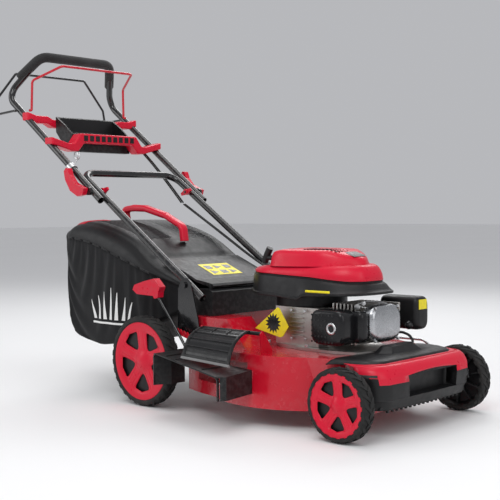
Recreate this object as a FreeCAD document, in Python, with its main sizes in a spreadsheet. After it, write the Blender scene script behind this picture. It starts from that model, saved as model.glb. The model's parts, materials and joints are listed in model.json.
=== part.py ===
import FreeCAD, Part
import math
import os

import Sketcher
from FreeCAD import Placement, Rotation, Vector

# Petrol push mower: parametric assembly, one document object per sub-part.
# Mower frame used while drawing: X forward from the rear wheel centre, Y to the
# mower's left from the mid-plane, Z up from the ground. Every leaf object's
# Placement then moves it to the part's origin (centre of the footprint).

doc = FreeCAD.newDocument("mower")
sheet = doc.addObject("Spreadsheet::Sheet", "dims")

SIZES = [
    # alias, millimetres, meaning
    ("wheelbase", 695.8, "rear wheel centre to front wheel centre"),
    ("front_wheel_d", 178.0, "7 inch front wheel"),
    ("rear_wheel_d", 254.0, "10 inch rear wheel"),
    ("wheel_face", 281.0, "mid-plane to the outer face of a tyre"),
    ("tyre_width", 43.0, "tread width"),
    ("axle_r", 6.0, "stub axle radius"),
    ("running_gap", 0.05, "radial clearance of a running fit"),
    ("crank_run", 33.6, "wheel centre back from its height pivot"),
    ("crank_drop", 17.8, "wheel centre below its height pivot"),
    ("deck_r", 272.0, "cutter bowl radius at the rim"),
    ("deck_x", 396.0, "crankshaft axis ahead of the rear wheel centre"),
    ("deck_rim", 50.0, "rim height above the ground"),
    ("deck_top", 181.0, "deck top height"),
    ("hump_top", 255.0, "raised tunnel height"),
    ("sheet_t", 3.0, "pressed steel thickness"),
    ("blade_r", 230.0, "46 cm cut"),
    ("tube_r", 11.0, "22 mm handle tube"),
    ("lower_half", 191.5, "lower handle tube spacing, half"),
    ("upper_half", 214.5, "upper handle tube spacing, half"),
    ("cam_x", -287.0, "cam bolt, along the mower"),
    ("cam_z", 610.0, "cam bolt height"),
    ("fold_x", 107.0, "lower handle bolt, along the mower"),
    ("fold_z", 341.0, "lower handle bolt height"),
    ("bail_reach", 795.0, "stop bail, furthest back"),
    ("bail_rod_r", 4.0, "bail rod radius"),
    ("bag_half", 203.0, "grass bag half width"),
    ("chute_reach", 400.0, "side chute mouth from the mid-plane"),
]
for row, (alias, value, meaning) in enumerate(SIZES, start=1):
    sheet.set("A%d" % row, meaning)
    sheet.set("B%d" % row, str(value))
    sheet.setAlias("B%d" % row, alias)
doc.recompute()


class Size:
    """A number that remembers the spreadsheet expression it came from."""

    def __init__(self, text, value):
        self.text = text
        self.value = value

    def _with(self, other, sign):
        right = as_size(other)
        text = "(%s %s %s)" % (self.text, sign, right.text)
        if sign == "+":
            return Size(text, self.value + right.value)
        if sign == "-":
            return Size(text, self.value - right.value)
        if sign == "*":
            return Size(text, self.value * right.value)
        return Size(text, self.value / right.value)

    def __add__(self, other):
        return self._with(other, "+")

    def __radd__(self, other):
        return as_size(other)._with(self, "+")

    def __sub__(self, other):
        return self._with(other, "-")

    def __rsub__(self, other):
        return as_size(other)._with(self, "-")

    def __mul__(self, other):
        return self._with(other, "*")

    def __rmul__(self, other):
        return as_size(other)._with(self, "*")

    def __truediv__(self, other):
        return self._with(other, "/")

    def __neg__(self):
        return Size("(0 - %s)" % self.text, -self.value)


def as_size(number):
    if isinstance(number, Size):
        return number
    return Size("%.6f" % number, float(number))


def value(number):
    return number.value if isinstance(number, Size) else float(number)


def dim(alias):
    return Size("dims.%s" % alias, float(sheet.get(alias)))


wheelbase = dim("wheelbase")
front_r = dim("front_wheel_d") / 2
rear_r = dim("rear_wheel_d") / 2
wheel_face = dim("wheel_face")
tyre_width = dim("tyre_width")
axle_r = dim("axle_r")
running_gap = dim("running_gap")
crank_run = dim("crank_run")
crank_drop = dim("crank_drop")
deck_r = dim("deck_r")
deck_x = dim("deck_x")
deck_rim = dim("deck_rim")
deck_top = dim("deck_top")
hump_top = dim("hump_top")
sheet_t = dim("sheet_t")
blade_r = dim("blade_r")
tube_r = dim("tube_r")
lower_half = dim("lower_half")
upper_half = dim("upper_half")
cam_x = dim("cam_x")
cam_z = dim("cam_z")
fold_x = dim("fold_x")
fold_z = dim("fold_z")
bail_reach = dim("bail_reach")
bail_rod_r = dim("bail_rod_r")
bag_half = dim("bag_half")
chute_reach = dim("chute_reach")

# The origin sits at the middle of the footprint.
origin_x = -(wheelbase + front_r - bail_reach) / 2
origin_y = (chute_reach - wheel_face) / 2
ORIGIN = (origin_x, origin_y, 0.0)

PARTS = []
AXIS_TURN = {
    "X": Rotation(Vector(0, 1, 0), 90),
    "Y": Rotation(Vector(1, 0, 0), -90),
    "Z": Rotation(),
}


def bind(obj, prop, number):
    """Give a property its number, through an expression when it has one."""
    if isinstance(number, Size):
        obj.setExpression(prop, number.text)
    else:
        target = obj
        names = prop.split(".")
        if len(names) == 1:
            setattr(target, prop, number)
        else:
            obj.setExpression(prop, "%.6f" % number)


def put(obj, at=(0.0, 0.0, 0.0), turn=None):
    """Place a leaf object: a point in the mower frame plus the origin shift."""
    obj.Placement = Placement(Vector(0, 0, 0), turn or Rotation())
    for name, number, shift in zip("xyz", at, ORIGIN):
        bind(obj, "Placement.Base.%s" % name, as_size(number) + shift)
    return obj


def box(name, xs, ys, zs):
    obj = doc.addObject("Part::Box", name)
    bind(obj, "Length", xs[1] - xs[0])
    bind(obj, "Width", ys[1] - ys[0])
    bind(obj, "Height", zs[1] - zs[0])
    return put(obj, (xs[0], ys[0], zs[0]))


def cylinder(name, radius, length, at, axis="Z"):
    obj = doc.addObject("Part::Cylinder", name)
    bind(obj, "Radius", radius)
    bind(obj, "Height", length)
    return put(obj, at, AXIS_TURN[axis])


def cone(name, bottom, top, height, at):
    obj = doc.addObject("Part::Cone", name)
    bind(obj, "Radius1", bottom)
    bind(obj, "Radius2", top)
    bind(obj, "Height", height)
    return put(obj, at)


def join(name, *objects):
    obj = doc.addObject("Part::MultiFuse", name)
    obj.Shapes = list(objects)
    return obj


def shared(name, *objects):
    obj = doc.addObject("Part::MultiCommon", name)
    obj.Shapes = list(objects)
    return obj


def cut(name, base, *tools):
    obj = doc.addObject("Part::Cut", name)
    obj.Base = base
    obj.Tool = tools[0] if len(tools) == 1 else join(name + "_tools", *tools)
    return obj


def plane_of(body, role):
    for feature in body.Origin.OriginFeatures:
        if feature.Role == role:
            return feature
    raise ValueError(role)


PLANE_ROLE = {"XY": "XY_Plane", "XZ": "XZ_Plane", "YZ": "YZ_Plane"}


def outline(body, name, plane, offset, points):
    """A closed polygon sketch whose corners are held by bound distances."""
    sketch = body.newObject("Sketcher::SketchObject", name)
    sketch.AttachmentSupport = [(plane_of(body, PLANE_ROLE[plane]), "")]
    sketch.MapMode = "FlatFace"
    bind(sketch, "AttachmentOffset.Base.z", as_size(offset))
    corners = [Vector(value(a), value(b), 0) for a, b in points]
    count = len(corners)
    for index in range(count):
        sketch.addGeometry(Part.LineSegment(corners[index], corners[(index + 1) % count]), False)
    for index in range(count):
        sketch.addConstraint(Sketcher.Constraint("Coincident", index, 2, (index + 1) % count, 1))
    for index, (a, b) in enumerate(points):
        for kind, number in (("DistanceX", a), ("DistanceY", b)):
            place = sketch.addConstraint(
                Sketcher.Constraint(kind, -1, 1, index, 1, value(number)))
            if isinstance(number, Size):
                sketch.setExpression("Constraints[%d]" % place, number.text)
    return sketch


def prism(name, plane, points, low, high):
    """A padded outline between two heights along the plane's own world axis."""
    body = doc.addObject("PartDesign::Body", name)
    start = -as_size(high) if plane == "XZ" else low
    sketch = outline(body, name + "_outline", plane, start, points)
    pad = body.newObject("PartDesign::Pad", name + "_pad")
    pad.Profile = sketch
    bind(pad, "Length", as_size(high) - low)
    sketch.Visibility = False
    return put(body)


def turned(name, axis, points, at):
    """A solid of revolution about Y or Z; points are (along or radius) pairs."""
    body = doc.addObject("PartDesign::Body", name)
    plane = "YZ" if axis == "Y" else "XZ"
    sketch = outline(body, name + "_outline", plane, 0.0, points)
    spin = body.newObject("PartDesign::Revolution", name + "_spin")
    spin.Profile = sketch
    spin.ReferenceAxis = (sketch, ["H_Axis" if axis == "Y" else "V_Axis"])
    spin.Angle = 360
    sketch.Visibility = False
    return put(body, at)


def loft(name, plane, sections):
    """A ruled loft through outlines with the same number of corners."""
    body = doc.addObject("PartDesign::Body", name)
    sketches = []
    for index, (offset, points) in enumerate(sections):
        start = -as_size(offset) if plane == "XZ" else offset
        sketches.append(outline(body, "%s_%d" % (name, index), plane, start, points))
    solid = body.newObject("PartDesign::AdditiveLoft", name + "_loft")
    solid.Profile = sketches[0]
    solid.Sections = sketches[1:]
    solid.Ruled = True
    return put(body)


def mirrored(points):
    """Complete a half outline given as (x, y) from rear to front on the right."""
    other = [(x, -y) for x, y in reversed(points)]
    return list(points) + other


def bent_wire(points, bend):
    """Straight runs joined by tangent arcs of the given bend radius."""
    corners = [Vector(*[value(part) for part in point]) for point in points]
    edges = []
    start = corners[0]
    for index in range(1, len(corners) - 1):
        here = corners[index]
        back = (corners[index - 1] - here).normalize()
        ahead = (corners[index + 1] - here).normalize()
        half = back.getAngle(ahead) / 2
        room = min((corners[index - 1] - here).Length, (corners[index + 1] - here).Length)
        reach = min(bend / math.tan(half), 0.48 * room)
        radius = reach * math.tan(half)
        arc_in = here + back * reach
        arc_out = here + ahead * reach
        middle = (back + ahead).normalize()
        centre = here + middle * (radius / math.sin(half))
        arc_mid = centre - middle * radius
        if (arc_in - start).Length > 1e-6:
            edges.append(Part.makeLine(start, arc_in))
        edges.append(Part.Arc(arc_in, arc_mid, arc_out).toShape())
        start = arc_out
    edges.append(Part.makeLine(start, corners[-1]))
    return Part.Wire(edges)


def bent_bar(points, bend, radius):
    """Solid round bar along a bent wire."""
    wire = bent_wire(points, bend)
    first = wire.OrderedEdges[0]
    start = first.valueAt(first.FirstParameter)
    direction = first.tangentAt(first.FirstParameter)
    ring = Part.Wire([Part.makeCircle(value(radius), start, direction)])
    return wire.makePipeShell([ring], True, False)


def rod(name, runs, bend, radius):
    """One or more bent bars, or a tube when radius is (outer, inner)."""
    obj = doc.addObject("Part::Feature", name)
    solids = []
    for points in runs:
        if isinstance(radius, tuple):
            outer = bent_bar(points, bend, radius[0])
            solids.append(outer.cut(bent_bar(points, bend, radius[1])))
        else:
            solids.append(bent_bar(points, bend, radius))
    shape = solids[0]
    if len(solids) > 1:
        shape = shape.multiFuse(solids[1:])
    obj.Shape = shape
    return put(obj)


def part(label, obj):
    """Register the finished object as one named sub-part."""
    obj.Label = label
    PARTS.append((label, obj))
    return obj


DRAWN_WHEELBASE = 695.8


def front(x):
    """A position that follows the front axle when the wheelbase changes."""
    return wheelbase + (x - DRAWN_WHEELBASE)


# ---------------------------------------------------------------- wheels
SPOKES = 5
HUB_R = 22.0
DOME_R = 27.0
DOME_TIP_R = 15.0
DOME_WALL_R = 22.05
DOME_DEPTH = 7.0
DOME_GAP = 0.3
RIM_SHARE = 0.80
TRIM_LIFT = 9.0


def wheel(name, centre_x, radius, side):
    """Wheel (disc with moulded tyre) and its five-spoke trim on one side."""
    outer = wheel_face * side
    inner = (wheel_face - tyre_width) * side
    low, high = (inner, outer) if side > 0 else (outer, inner)
    rim_r = radius * RIM_SHARE
    bore = axle_r + running_gap
    face = high - 14 if side > 0 else low + 14
    disc = (face - 6, face) if side > 0 else (face, face + 6)
    hub_low, hub_high = (low + 2, high - 8) if side > 0 else (low + 8, high - 2)
    profile = [
        (low, rim_r), (low + 3, radius - 3), (low + 7, radius), (high - 7, radius),
        (high - 3, radius - 3), (high, rim_r), (disc[1], rim_r - 4), (disc[1], HUB_R),
        (hub_high, HUB_R), (hub_high, bore), (hub_low, bore), (hub_low, HUB_R),
        (disc[0], HUB_R), (disc[0], rim_r - 4),
    ]
    disc_body = turned(name + "_body", "Y", profile, (centre_x, 0.0, radius))
    part(name, disc_body)

    # Trim: outer ring, five spokes and a domed hub, seated on the disc.
    seat = disc[1] if side > 0 else disc[0]
    ring_r = rim_r - 5
    ring_low, ring_high = (seat, seat + TRIM_LIFT) if side > 0 else (seat - TRIM_LIFT, seat)
    ring = turned(name + "_ring", "Y", [
        (ring_low, ring_r - 9), (ring_low, ring_r), (ring_high, ring_r), (ring_high, ring_r - 9),
    ], (centre_x, 0.0, radius))
    hub_face, dome_tip, ring_back, out = (
        (hub_high, hub_high + DOME_DEPTH, ring_low, DOME_GAP) if side > 0
        else (hub_low, hub_low - DOME_DEPTH, ring_high, -DOME_GAP))
    dome = turned(name + "_dome", "Y", [
        (ring_back, DOME_WALL_R), (ring_back, DOME_R), (hub_face, DOME_R), (dome_tip, DOME_TIP_R),
        (dome_tip, 0.0), (hub_face + out, 0.0), (hub_face + out, DOME_WALL_R),
    ], (centre_x, 0.0, radius))
    spokes = []
    for index in range(SPOKES):
        angle = math.radians(90 + index * 360.0 / SPOKES)
        ahead = (math.cos(angle), math.sin(angle))
        across = (-ahead[1], ahead[0])
        points = []
        for reach, half in ((24.0, -11.0), (ring_r - 6, -15.0), (ring_r - 6, 15.0), (24.0, 11.0)):
            points.append((centre_x + ahead[0] * reach + across[0] * half,
                           radius + ahead[1] * reach + across[1] * half))
        spokes.append(prism("%s_spoke%d" % (name, index), "XZ", points, ring_low, ring_high))
    part(name + "_trim", join(name + "_trim_all", ring, dome, *spokes))


wheel("rear_wheel_right", 0.0, rear_r, -1)
wheel("rear_wheel_left", 0.0, rear_r, 1)
wheel("front_wheel_right", wheelbase, front_r, -1)
wheel("front_wheel_left", wheelbase, front_r, 1)

# ---------------------------------------------------------------- axles
rear_pivot_x = crank_run
rear_pivot_z = rear_r + crank_drop
front_pivot_x = wheelbase + crank_run
front_pivot_z = front_r + crank_drop
PIVOT_TUBE_R = 7.0
CRANK_T = 5.0
crank_y = wheel_face - tyre_width - 6
ARM_REACH = 48.0
ARM_LEAN = 29.0


def axle(name, pivot_x, pivot_z, hub_x, hub_z):
    """Cross tube with a crank plate and stub axle at each end, and a link arm."""
    pieces = [cylinder(name + "_tube", PIVOT_TUBE_R, crank_y * 2, (pivot_x, -crank_y, pivot_z), "Y")]
    for side in (-1, 1):
        tag = "r" if side < 0 else "l"
        low = -crank_y if side < 0 else crank_y - CRANK_T
        plate = prism("%s_crank_%s" % (name, tag), "XZ", [
            (hub_x - 13, hub_z - 13), (hub_x + 9, hub_z - 15), (pivot_x + 14, pivot_z - 10),
            (pivot_x + 14, pivot_z + 12), (pivot_x - 8, pivot_z + 15), (hub_x - 13, hub_z + 10),
        ], low, low + CRANK_T)
        reach = wheel_face - 11 - (crank_y - CRANK_T)
        start = -(wheel_face - 11) if side < 0 else crank_y - CRANK_T
        stub = cylinder("%s_stub_%s" % (name, tag), axle_r, reach, (hub_x, start, hub_z), "Y")
        pieces += [plate, stub]
    tip_x = pivot_x - ARM_REACH * math.sin(math.radians(ARM_LEAN))
    tip_z = pivot_z + ARM_REACH * math.cos(math.radians(ARM_LEAN))
    arm = prism(name + "_arm", "XZ", [
        (pivot_x - 9, pivot_z), (pivot_x + 9, pivot_z), (tip_x + 9, tip_z + 4), (tip_x + 2, tip_z + 8),
        (tip_x - 8, tip_z + 2),
    ], crank_y - CRANK_T, crank_y)
    return join(name + "_all", arm, *pieces)


part("front_axle", axle("front_axle", front_pivot_x, front_pivot_z, wheelbase, front_r))
part("rear_axle", axle("rear_axle", rear_pivot_x, rear_pivot_z, 0.0, rear_r))

# Drive shaft and gearbox between the rear wheels.
DRIVE_SHAFT_R = 5.0
shaft_half = crank_y - CRANK_T - 3
part("drive_shaft", cylinder("drive_shaft_bar", DRIVE_SHAFT_R, shaft_half * 2,
                             (0.0, -shaft_half, rear_r), "Y"))
gear_case = join("gear_case",
                 box("gear_case_body", (-40.0, 22.0), (-24.0, 24.0), (rear_r - 24, rear_r + 22)),
                 cylinder("gear_case_neck", 17.0, 62.0, (0.0, -31.0, rear_r), "Y"))
part("gearbox", cut("gearbox_body", gear_case,
                    cylinder("gearbox_bore", DRIVE_SHAFT_R + running_gap, 70.0,
                             (0.0, -35.0, rear_r), "Y")))
PULLEY_X = -9.0
part("gearbox_pulley", turned("gearbox_pulley_wheel", "Z", [
    (0.0, 0.0), (7.0, 0.0), (7.0, 6.0), (30.0, 6.0), (30.0, 8.0), (25.0, 12.0), (30.0, 16.0),
    (30.0, 18.0), (0.0, 18.0),
], (PULLEY_X, 0.0, rear_r + 22.3)))

# ---------------------------------------------------------------- deck
bowl_height = deck_top - deck_rim
bowl_top_r = deck_r - 14
REAR_WALL_X = 104.0


def deck_plan(inset):
    """Right half of the deck's rear and front aprons, inset by a thickness."""
    return [
        (REAR_WALL_X + inset, -190.0 + inset), (REAR_WALL_X + 76, -214.0 + inset),
        (deck_x - 76, -246.0 + inset), (deck_x + 40, -246.0 + inset),
        (front(600.0), -190.0 + inset), (front(640.0), -168.0 + inset),
        (front(700.0) - inset, -160.0 + inset),
    ]


def deck_plan_all(inset):
    return mirrored(deck_plan(inset))


hump_side = [
    (REAR_WALL_X, deck_top - 20), (REAR_WALL_X, hump_top), (REAR_WALL_X + 150, hump_top),
    (REAR_WALL_X + 220, deck_top - 0.5), (REAR_WALL_X + 220, deck_top - 20),
]
hump_side_inner = [
    (REAR_WALL_X - 5, deck_top - 31), (REAR_WALL_X - 5, hump_top - sheet_t),
    (REAR_WALL_X + 148, hump_top - sheet_t), (REAR_WALL_X + 213, deck_top - sheet_t),
    (REAR_WALL_X + 213, deck_top - 31),
]
HUMP_LEFT = -92.0
deck_outer = join("deck_outer",
                  cone("deck_bowl", deck_r, bowl_top_r, bowl_height, (deck_x, 0.0, deck_rim)),
                  prism("deck_apron", "XY", deck_plan_all(0.0), deck_rim, deck_top),
                  prism("deck_hump", "XZ", hump_side, -190.0, HUMP_LEFT),
                  prism("deck_hump_rear", "XY", [
                      (REAR_WALL_X, -190.0), (REAR_WALL_X + 60, -190.0),
                      (REAR_WALL_X + 60, 190.0), (REAR_WALL_X, 190.0),
                  ], deck_top - 20, hump_top))
deck_inner = join("deck_inner",
                  cone("deck_bowl_in", deck_r - sheet_t, bowl_top_r - sheet_t, bowl_height - sheet_t + 1,
                       (deck_x, 0.0, deck_rim - 1)),
                  prism("deck_apron_in", "XY", deck_plan_all(3.0), deck_rim - 1, deck_top - sheet_t),
                  prism("deck_hump_in", "XZ", hump_side_inner, -187.0, HUMP_LEFT - 3),
                  prism("deck_hump_rear_in", "XY", [
                      (REAR_WALL_X - 5, -187.0), (REAR_WALL_X + 57, -187.0),
                      (REAR_WALL_X + 57, 187.0), (REAR_WALL_X - 5, 187.0),
                  ], deck_top - 31, hump_top - sheet_t))
CHUTE_REAR = 150.0
CHUTE_FRONT = 412.0
chute_gate = box("deck_side_gate", (CHUTE_REAR + 14, CHUTE_FRONT - 14), (-300.0, -180.0), (86.0, 160.0))
throat = box("deck_throat", (110.0, 158.0), (-148.0, 148.0), (240.0, 270.0))
crank_gate = cylinder("deck_crank_gate", 46.0, 20.0, (deck_x, 0.0, deck_top - 10), "Z")
deck_shell = cut("deck_shell", deck_outer, deck_inner, chute_gate, throat,
                 crank_gate)

# Black rear housing: the tunnel mouth that the bag hooks over.
HOUSING_FRONT = 176.0
housing_outer = prism("rear_housing_outer", "XZ", [
    (96.0, hump_top + 0.5), (HOUSING_FRONT, hump_top + 0.5), (HOUSING_FRONT, 322.0),
    (162.0, 330.0), (120.0, 330.0), (96.0, 316.0),
], -165.0, 165.0)
housing_mouth = box("rear_housing_mouth", (80.0, 168.0), (-150.0, 150.0), (hump_top - 5, 316.0))
housing_shell = cut("rear_housing_shell", housing_outer, housing_mouth)

# Front bumper with carry recess, moulded skirt and comb.
bumper_outer = loft("bumper_outer", "XY", [
    (82.0, mirrored([(front(703.0), -202.0), (front(740.0), -194.0), (front(766.0), -166.0)])),
    (150.0, mirrored([(front(703.0), -212.0), (front(742.0), -206.0), (front(770.0), -176.0)])),
    (183.0, mirrored([(front(703.0), -190.0), (front(726.0), -186.0), (front(744.0), -160.0)])),
])
bumper_inner = loft("bumper_inner", "XY", [
    (81.0, mirrored([(front(699.0), -197.0), (front(736.0), -189.0), (front(761.0), -162.0)])),
    (150.0, mirrored([(front(699.0), -207.0), (front(738.0), -201.0), (front(765.0), -172.0)])),
    (179.0, mirrored([(front(699.0), -186.0), (front(722.0), -181.0), (front(740.0), -156.0)])),
])
RECESS_LOW = 93.0
RECESS_HIGH = 147.0
recess_shell = box("bumper_recess_shell", (front(739.0), front(764.0)), (-104.0, 126.0),
                   (RECESS_LOW - 4, RECESS_HIGH + 4))
recess = box("bumper_recess", (front(743.0), front(790.0)), (-98.0, 120.0), (RECESS_LOW, RECESS_HIGH))
top_plate = prism("bumper_top_plate", "XY", mirrored([
    (front(652.0), -158.0), (front(700.0), -184.0), (front(728.0), -184.0),
]), deck_top + 0.5, deck_top + 5)
plateau = prism("bumper_plateau", "XZ", [
    (front(677.0), deck_top + 4), (front(720.0), deck_top + 4), (front(710.0), deck_top + 14),
    (front(686.0), deck_top + 14),
], -70.0, 90.0)
comb_bar = box("bumper_comb_bar", (front(726.0), front(763.0)), (-150.0, 150.0), (78.0, 86.0))
teeth = []
TEETH = 15
for index in range(TEETH):
    tooth_y = -140.0 + index * 20.0
    teeth.append(box("bumper_tooth%d" % index, (front(742.0), front(750.0)),
                     (tooth_y - 3, tooth_y + 3), (60.0, 80.0)))
bumper_shell = cut("bumper_shell", bumper_outer, bumper_inner)
bumper_all = join("bumper_all", bumper_shell, recess_shell, top_plate, plateau, comb_bar, *teeth)
axle_notch = box("bumper_axle_notch", (front(700.0), front(724.0)), (-230.0, 230.0), (60.0, 150.0))
stub_clear = cylinder("bumper_tube_clear", PIVOT_TUBE_R + 1.5, 440.0,
                      (front_pivot_x, -220.0, front_pivot_z), "Y")
part("bumper", cut("bumper_body", bumper_all, recess, axle_notch, stub_clear))

# ---------------------------------------------------------------- side chute and its door
chute_plan = [
    (CHUTE_REAR, -252.0), (134.0, -300.0), (134.0, -345.0), (424.0, -chute_reach),
    (440.0, -380.0), (CHUTE_FRONT + 8, -268.0), (CHUTE_FRONT - 60, -278.0), (CHUTE_REAR + 60, -278.0),
]
chute_plan_in = [
    (160.0, -240.0), (156.0, -302.0), (118.0, -380.0), (420.0, -430.0),
    (434.0, -378.0), (CHUTE_FRONT - 4, -240.0), (CHUTE_FRONT - 60, -240.0), (CHUTE_REAR + 60, -240.0),
]
chute_side = [(120.0, 84.0), (120.0, 168.0), (150.0, 170.0), (CHUTE_FRONT + 40, 141.0),
              (CHUTE_FRONT + 40, 84.0)]
chute_side_in = [(110.0, 80.0), (110.0, 164.0), (150.0, 166.0), (CHUTE_FRONT + 60, 135.5),
                 (CHUTE_FRONT + 60, 80.0)]
chute_outer = shared("chute_outer",
                     prism("chute_outer_plan", "XY", chute_plan, 80.0, 180.0),
                     prism("chute_outer_side", "XZ", chute_side, -chute_reach - 10, -240.0))
chute_inner = shared("chute_inner",
                     prism("chute_inner_plan", "XY", chute_plan_in, 70.0, 178.0),
                     prism("chute_inner_side", "XZ", chute_side_in, -chute_reach - 40, -230.0))
part("side_chute", cut("side_chute_shell", chute_outer, chute_inner))

DOOR_HINGE_Y = -232.0
DOOR_HINGE_Z = 232.0
door_curve = [
    (DOOR_HINGE_Y, 226.0), (DOOR_HINGE_Y, 234.0), (-262.0, 236.0), (-304.0, 222.0), (-334.0, 192.0),
    (-346.0, 172.0), (-339.0, 169.0), (-328.0, 188.0), (-300.0, 215.0), (-261.0, 229.0),
]
door_skin = prism("door_skin", "YZ", door_curve, 206.0, 420.0)
door_pins = cylinder("door_pin_barrel", 5.0, 214.0, (206.0, DOOR_HINGE_Y, DOOR_HINGE_Z), "X")
door_slots = []
LOUVRES = 4
for index in range(LOUVRES):
    slot_x = 226.0 + index * 48.0
    door_slots.append(box("door_slot%d" % index, (slot_x, slot_x + 32.0), (-330.0, -252.0),
                          (176.0, 240.0)))
door_all = join("door_all", cut("door_cut", door_skin, *door_slots), door_pins)
door_bore = cylinder("door_bore", 2.55, 240.0, (190.0, DOOR_HINGE_Y, DOOR_HINGE_Z), "X")
part("discharge_door", cut("discharge_door_body", door_all, door_bore))

door_rod_lugs = []
for index, lug_x in enumerate((201.0, 421.0)):
    door_rod_lugs.append(prism("hinge_lug%d" % index, "YZ", [
        (-196.0, 178.0), (-236.0, 178.0), (-240.0, 232.0), (-232.0, 239.0), (-224.0, 232.0),
        (-196.0, 190.0),
    ], lug_x, lug_x + 4))
door_rod = cylinder("hinge_rod", 2.5, 228.0, (199.0, DOOR_HINGE_Y, DOOR_HINGE_Z), "X")
part("deck", join("deck_with_hinge", deck_shell, door_rod, *door_rod_lugs))

# ---------------------------------------------------------------- handle brackets, ratchet plate
BRACKET_T = 3.0


def bracket(name, side):
    """Slotted plate bolted to the housing, with the lower handle's pivot bolt."""
    inner = lower_half + tube_r + 1
    low = inner * side if side > 0 else -inner - BRACKET_T
    plate = prism(name + "_plate", "XZ", [
        (78.0, 206.0), (90.0, 200.0), (160.0, 188.0), (168.0, 200.0), (160.0, 250.0),
        (132.0, 350.0), (118.0, 362.0), (96.0, 358.0), (82.0, 330.0),
    ], low, low + BRACKET_T)
    foot_low, foot_high = (-inner, -190.2) if side < 0 else (190.2, inner)
    feet = [box("%s_foot" % name, (90.0, 160.0), (foot_low, foot_high), (206.0, 226.0))]
    bolts = []
    for index, (bolt_x, bolt_z) in enumerate(((92.0 + 2, 226.0), (145.0, 211.0))):
        head = -inner - BRACKET_T - 5 if side < 0 else inner + BRACKET_T
        bolts.append(cylinder("%s_bolt%d" % (name, index), 7.0, 5.0, (bolt_x, head, bolt_z), "Y"))
    pin_low = -inner - BRACKET_T - 6 if side < 0 else lower_half - tube_r - 8
    pin = cylinder(name + "_pin", 4.0, inner + BRACKET_T + 6 - (lower_half - tube_r - 8),
                   (fold_x, pin_low, fold_z), "Y")
    head_low = -inner - BRACKET_T - 6 if side < 0 else inner + BRACKET_T
    pin_head = cylinder(name + "_pin_head", 9.0, 6.0, (fold_x, head_low, fold_z), "Y")
    return join(name + "_all", plate, pin, pin_head, *(feet + bolts))


part("bracket_right", bracket("bracket_right", -1))
part("bracket_left", bracket("bracket_left", 1))

LEVER_PIVOT_X = 150.0
LEVER_PIVOT_Z = 150.0
ratchet_points = [(92.0, 206.0), (92.0, 222.0)]
TOOTH_COUNT = 7
for index in range(TOOTH_COUNT):
    tooth_x = 96.0 + index * 13.0
    tooth_z = 221.0 - index * 3.2
    ratchet_points += [(tooth_x, tooth_z), (tooth_x + 5, tooth_z - 8), (tooth_x + 9, tooth_z - 1)]
ratchet_points += [(191.0, 198.0), (195.0, 184.0), (176.0, 184.0)]
ratchet_plate = prism("ratchet_bar", "XZ", ratchet_points, -221.5, -218.5)
ratchet_leg = prism("ratchet_leg", "XZ", [
    (176.0, 184.0), (195.0, 184.0), (166.0, 138.0), (134.0, 138.0), (138.0, 160.0),
], -221.5, -218.5)
ratchet_tab = box("ratchet_tab", (150.0, 193.0), (-220.0, -205.0), (184.0, 188.0))
lever_pin = cylinder("ratchet_pin", 4.0, 14.0, (LEVER_PIVOT_X, -232.0, LEVER_PIVOT_Z), "Y")
part("ratchet_plate", join("ratchet_plate_all", ratchet_plate, ratchet_leg, ratchet_tab, lever_pin))

lever_arm = rod("lever_arm", [[
    (LEVER_PIVOT_X, -227.0, LEVER_PIVOT_Z), (96.0, -227.0, 217.0), (30.0, -227.0, 296.0),
    (6.0, -227.0, 322.0),
]], 30.0, 4.0)
lever_eye = cylinder("lever_eye", 9.0, 6.0, (LEVER_PIVOT_X, -230.0, LEVER_PIVOT_Z), "Y")
lever_eye_bore = cylinder("lever_eye_bore", 4.05, 20.0, (LEVER_PIVOT_X, -236.0, LEVER_PIVOT_Z), "Y")
part("height_lever", cut("height_lever_body", join("lever_solid", lever_arm, lever_eye), lever_eye_bore))
knob = prism("knob_blade", "XZ", [
    (-80.0, 322.0), (-62.0, 310.0), (8.0, 308.0), (14.0, 300.0), (28.0, 304.0), (30.0, 318.0),
    (38.0, 334.0), (12.0, 357.0), (-30.0, 348.0), (-72.0, 336.0),
], -236.0, -214.0)
knob_bore = rod("knob_bore", [[(42.0, -227.0, 281.6), (30.0, -227.0, 296.0), (6.0, -227.0, 322.0)]],
                30.0, 4.0)
part("height_knob", cut("height_knob_body", knob, knob_bore))

LINK_Y = 222.0
link_back_x = rear_pivot_x - ARM_REACH * math.sin(math.radians(ARM_LEAN))
link_back_z = rear_pivot_z + ARM_REACH * math.cos(math.radians(ARM_LEAN))
link_front_x = front_pivot_x - ARM_REACH * math.sin(math.radians(ARM_LEAN))
link_front_z = front_pivot_z + ARM_REACH * math.cos(math.radians(ARM_LEAN))
part("link_rod", rod("link_rod_bar", [[
    (link_back_x, LINK_Y, link_back_z), (front(606.0), LINK_Y, link_back_z),
    (front(664.0), LINK_Y, link_front_z), (link_front_x, LINK_Y, link_front_z),
]], 30.0, 3.5))

# ---------------------------------------------------------------- engine
ENGINE_BASE = 181.5
flange = cylinder("engine_flange", 108.0, 9.0, (deck_x + 14, 0.0, ENGINE_BASE), "Z")
flange_front = prism("engine_flange_front", "XY", [
    (430.0, -118.0), (560.0, -120.0), (628.0, -104.0), (644.0, -40.0), (632.0, 41.0), (560.0, 90.0),
    (430.0, 100.0),
], ENGINE_BASE, ENGINE_BASE + 7)
crankcase = prism("engine_crankcase", "XY", [
    (320.0, -60.0), (345.0, -92.0), (402.0, -96.0), (496.0, -96.0), (499.0, -60.0), (512.0, -52.0),
    (512.0, 80.0),
    (480.0, 100.0), (345.0, 92.0), (320.0, 60.0),
], ENGINE_BASE + 8, 290.0)
deck_neck = cylinder("engine_neck", 44.0, 14.0, (deck_x, 0.0, deck_top - 8), "Z")
crank_bore = cylinder("engine_crank_bore", 12.55, 160.0, (deck_x, 0.0, 160.0), "Z")
crank_room = cylinder("engine_crank_room", 40.0, 84.0, (deck_x, 0.0, 200.0), "Z")
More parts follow.
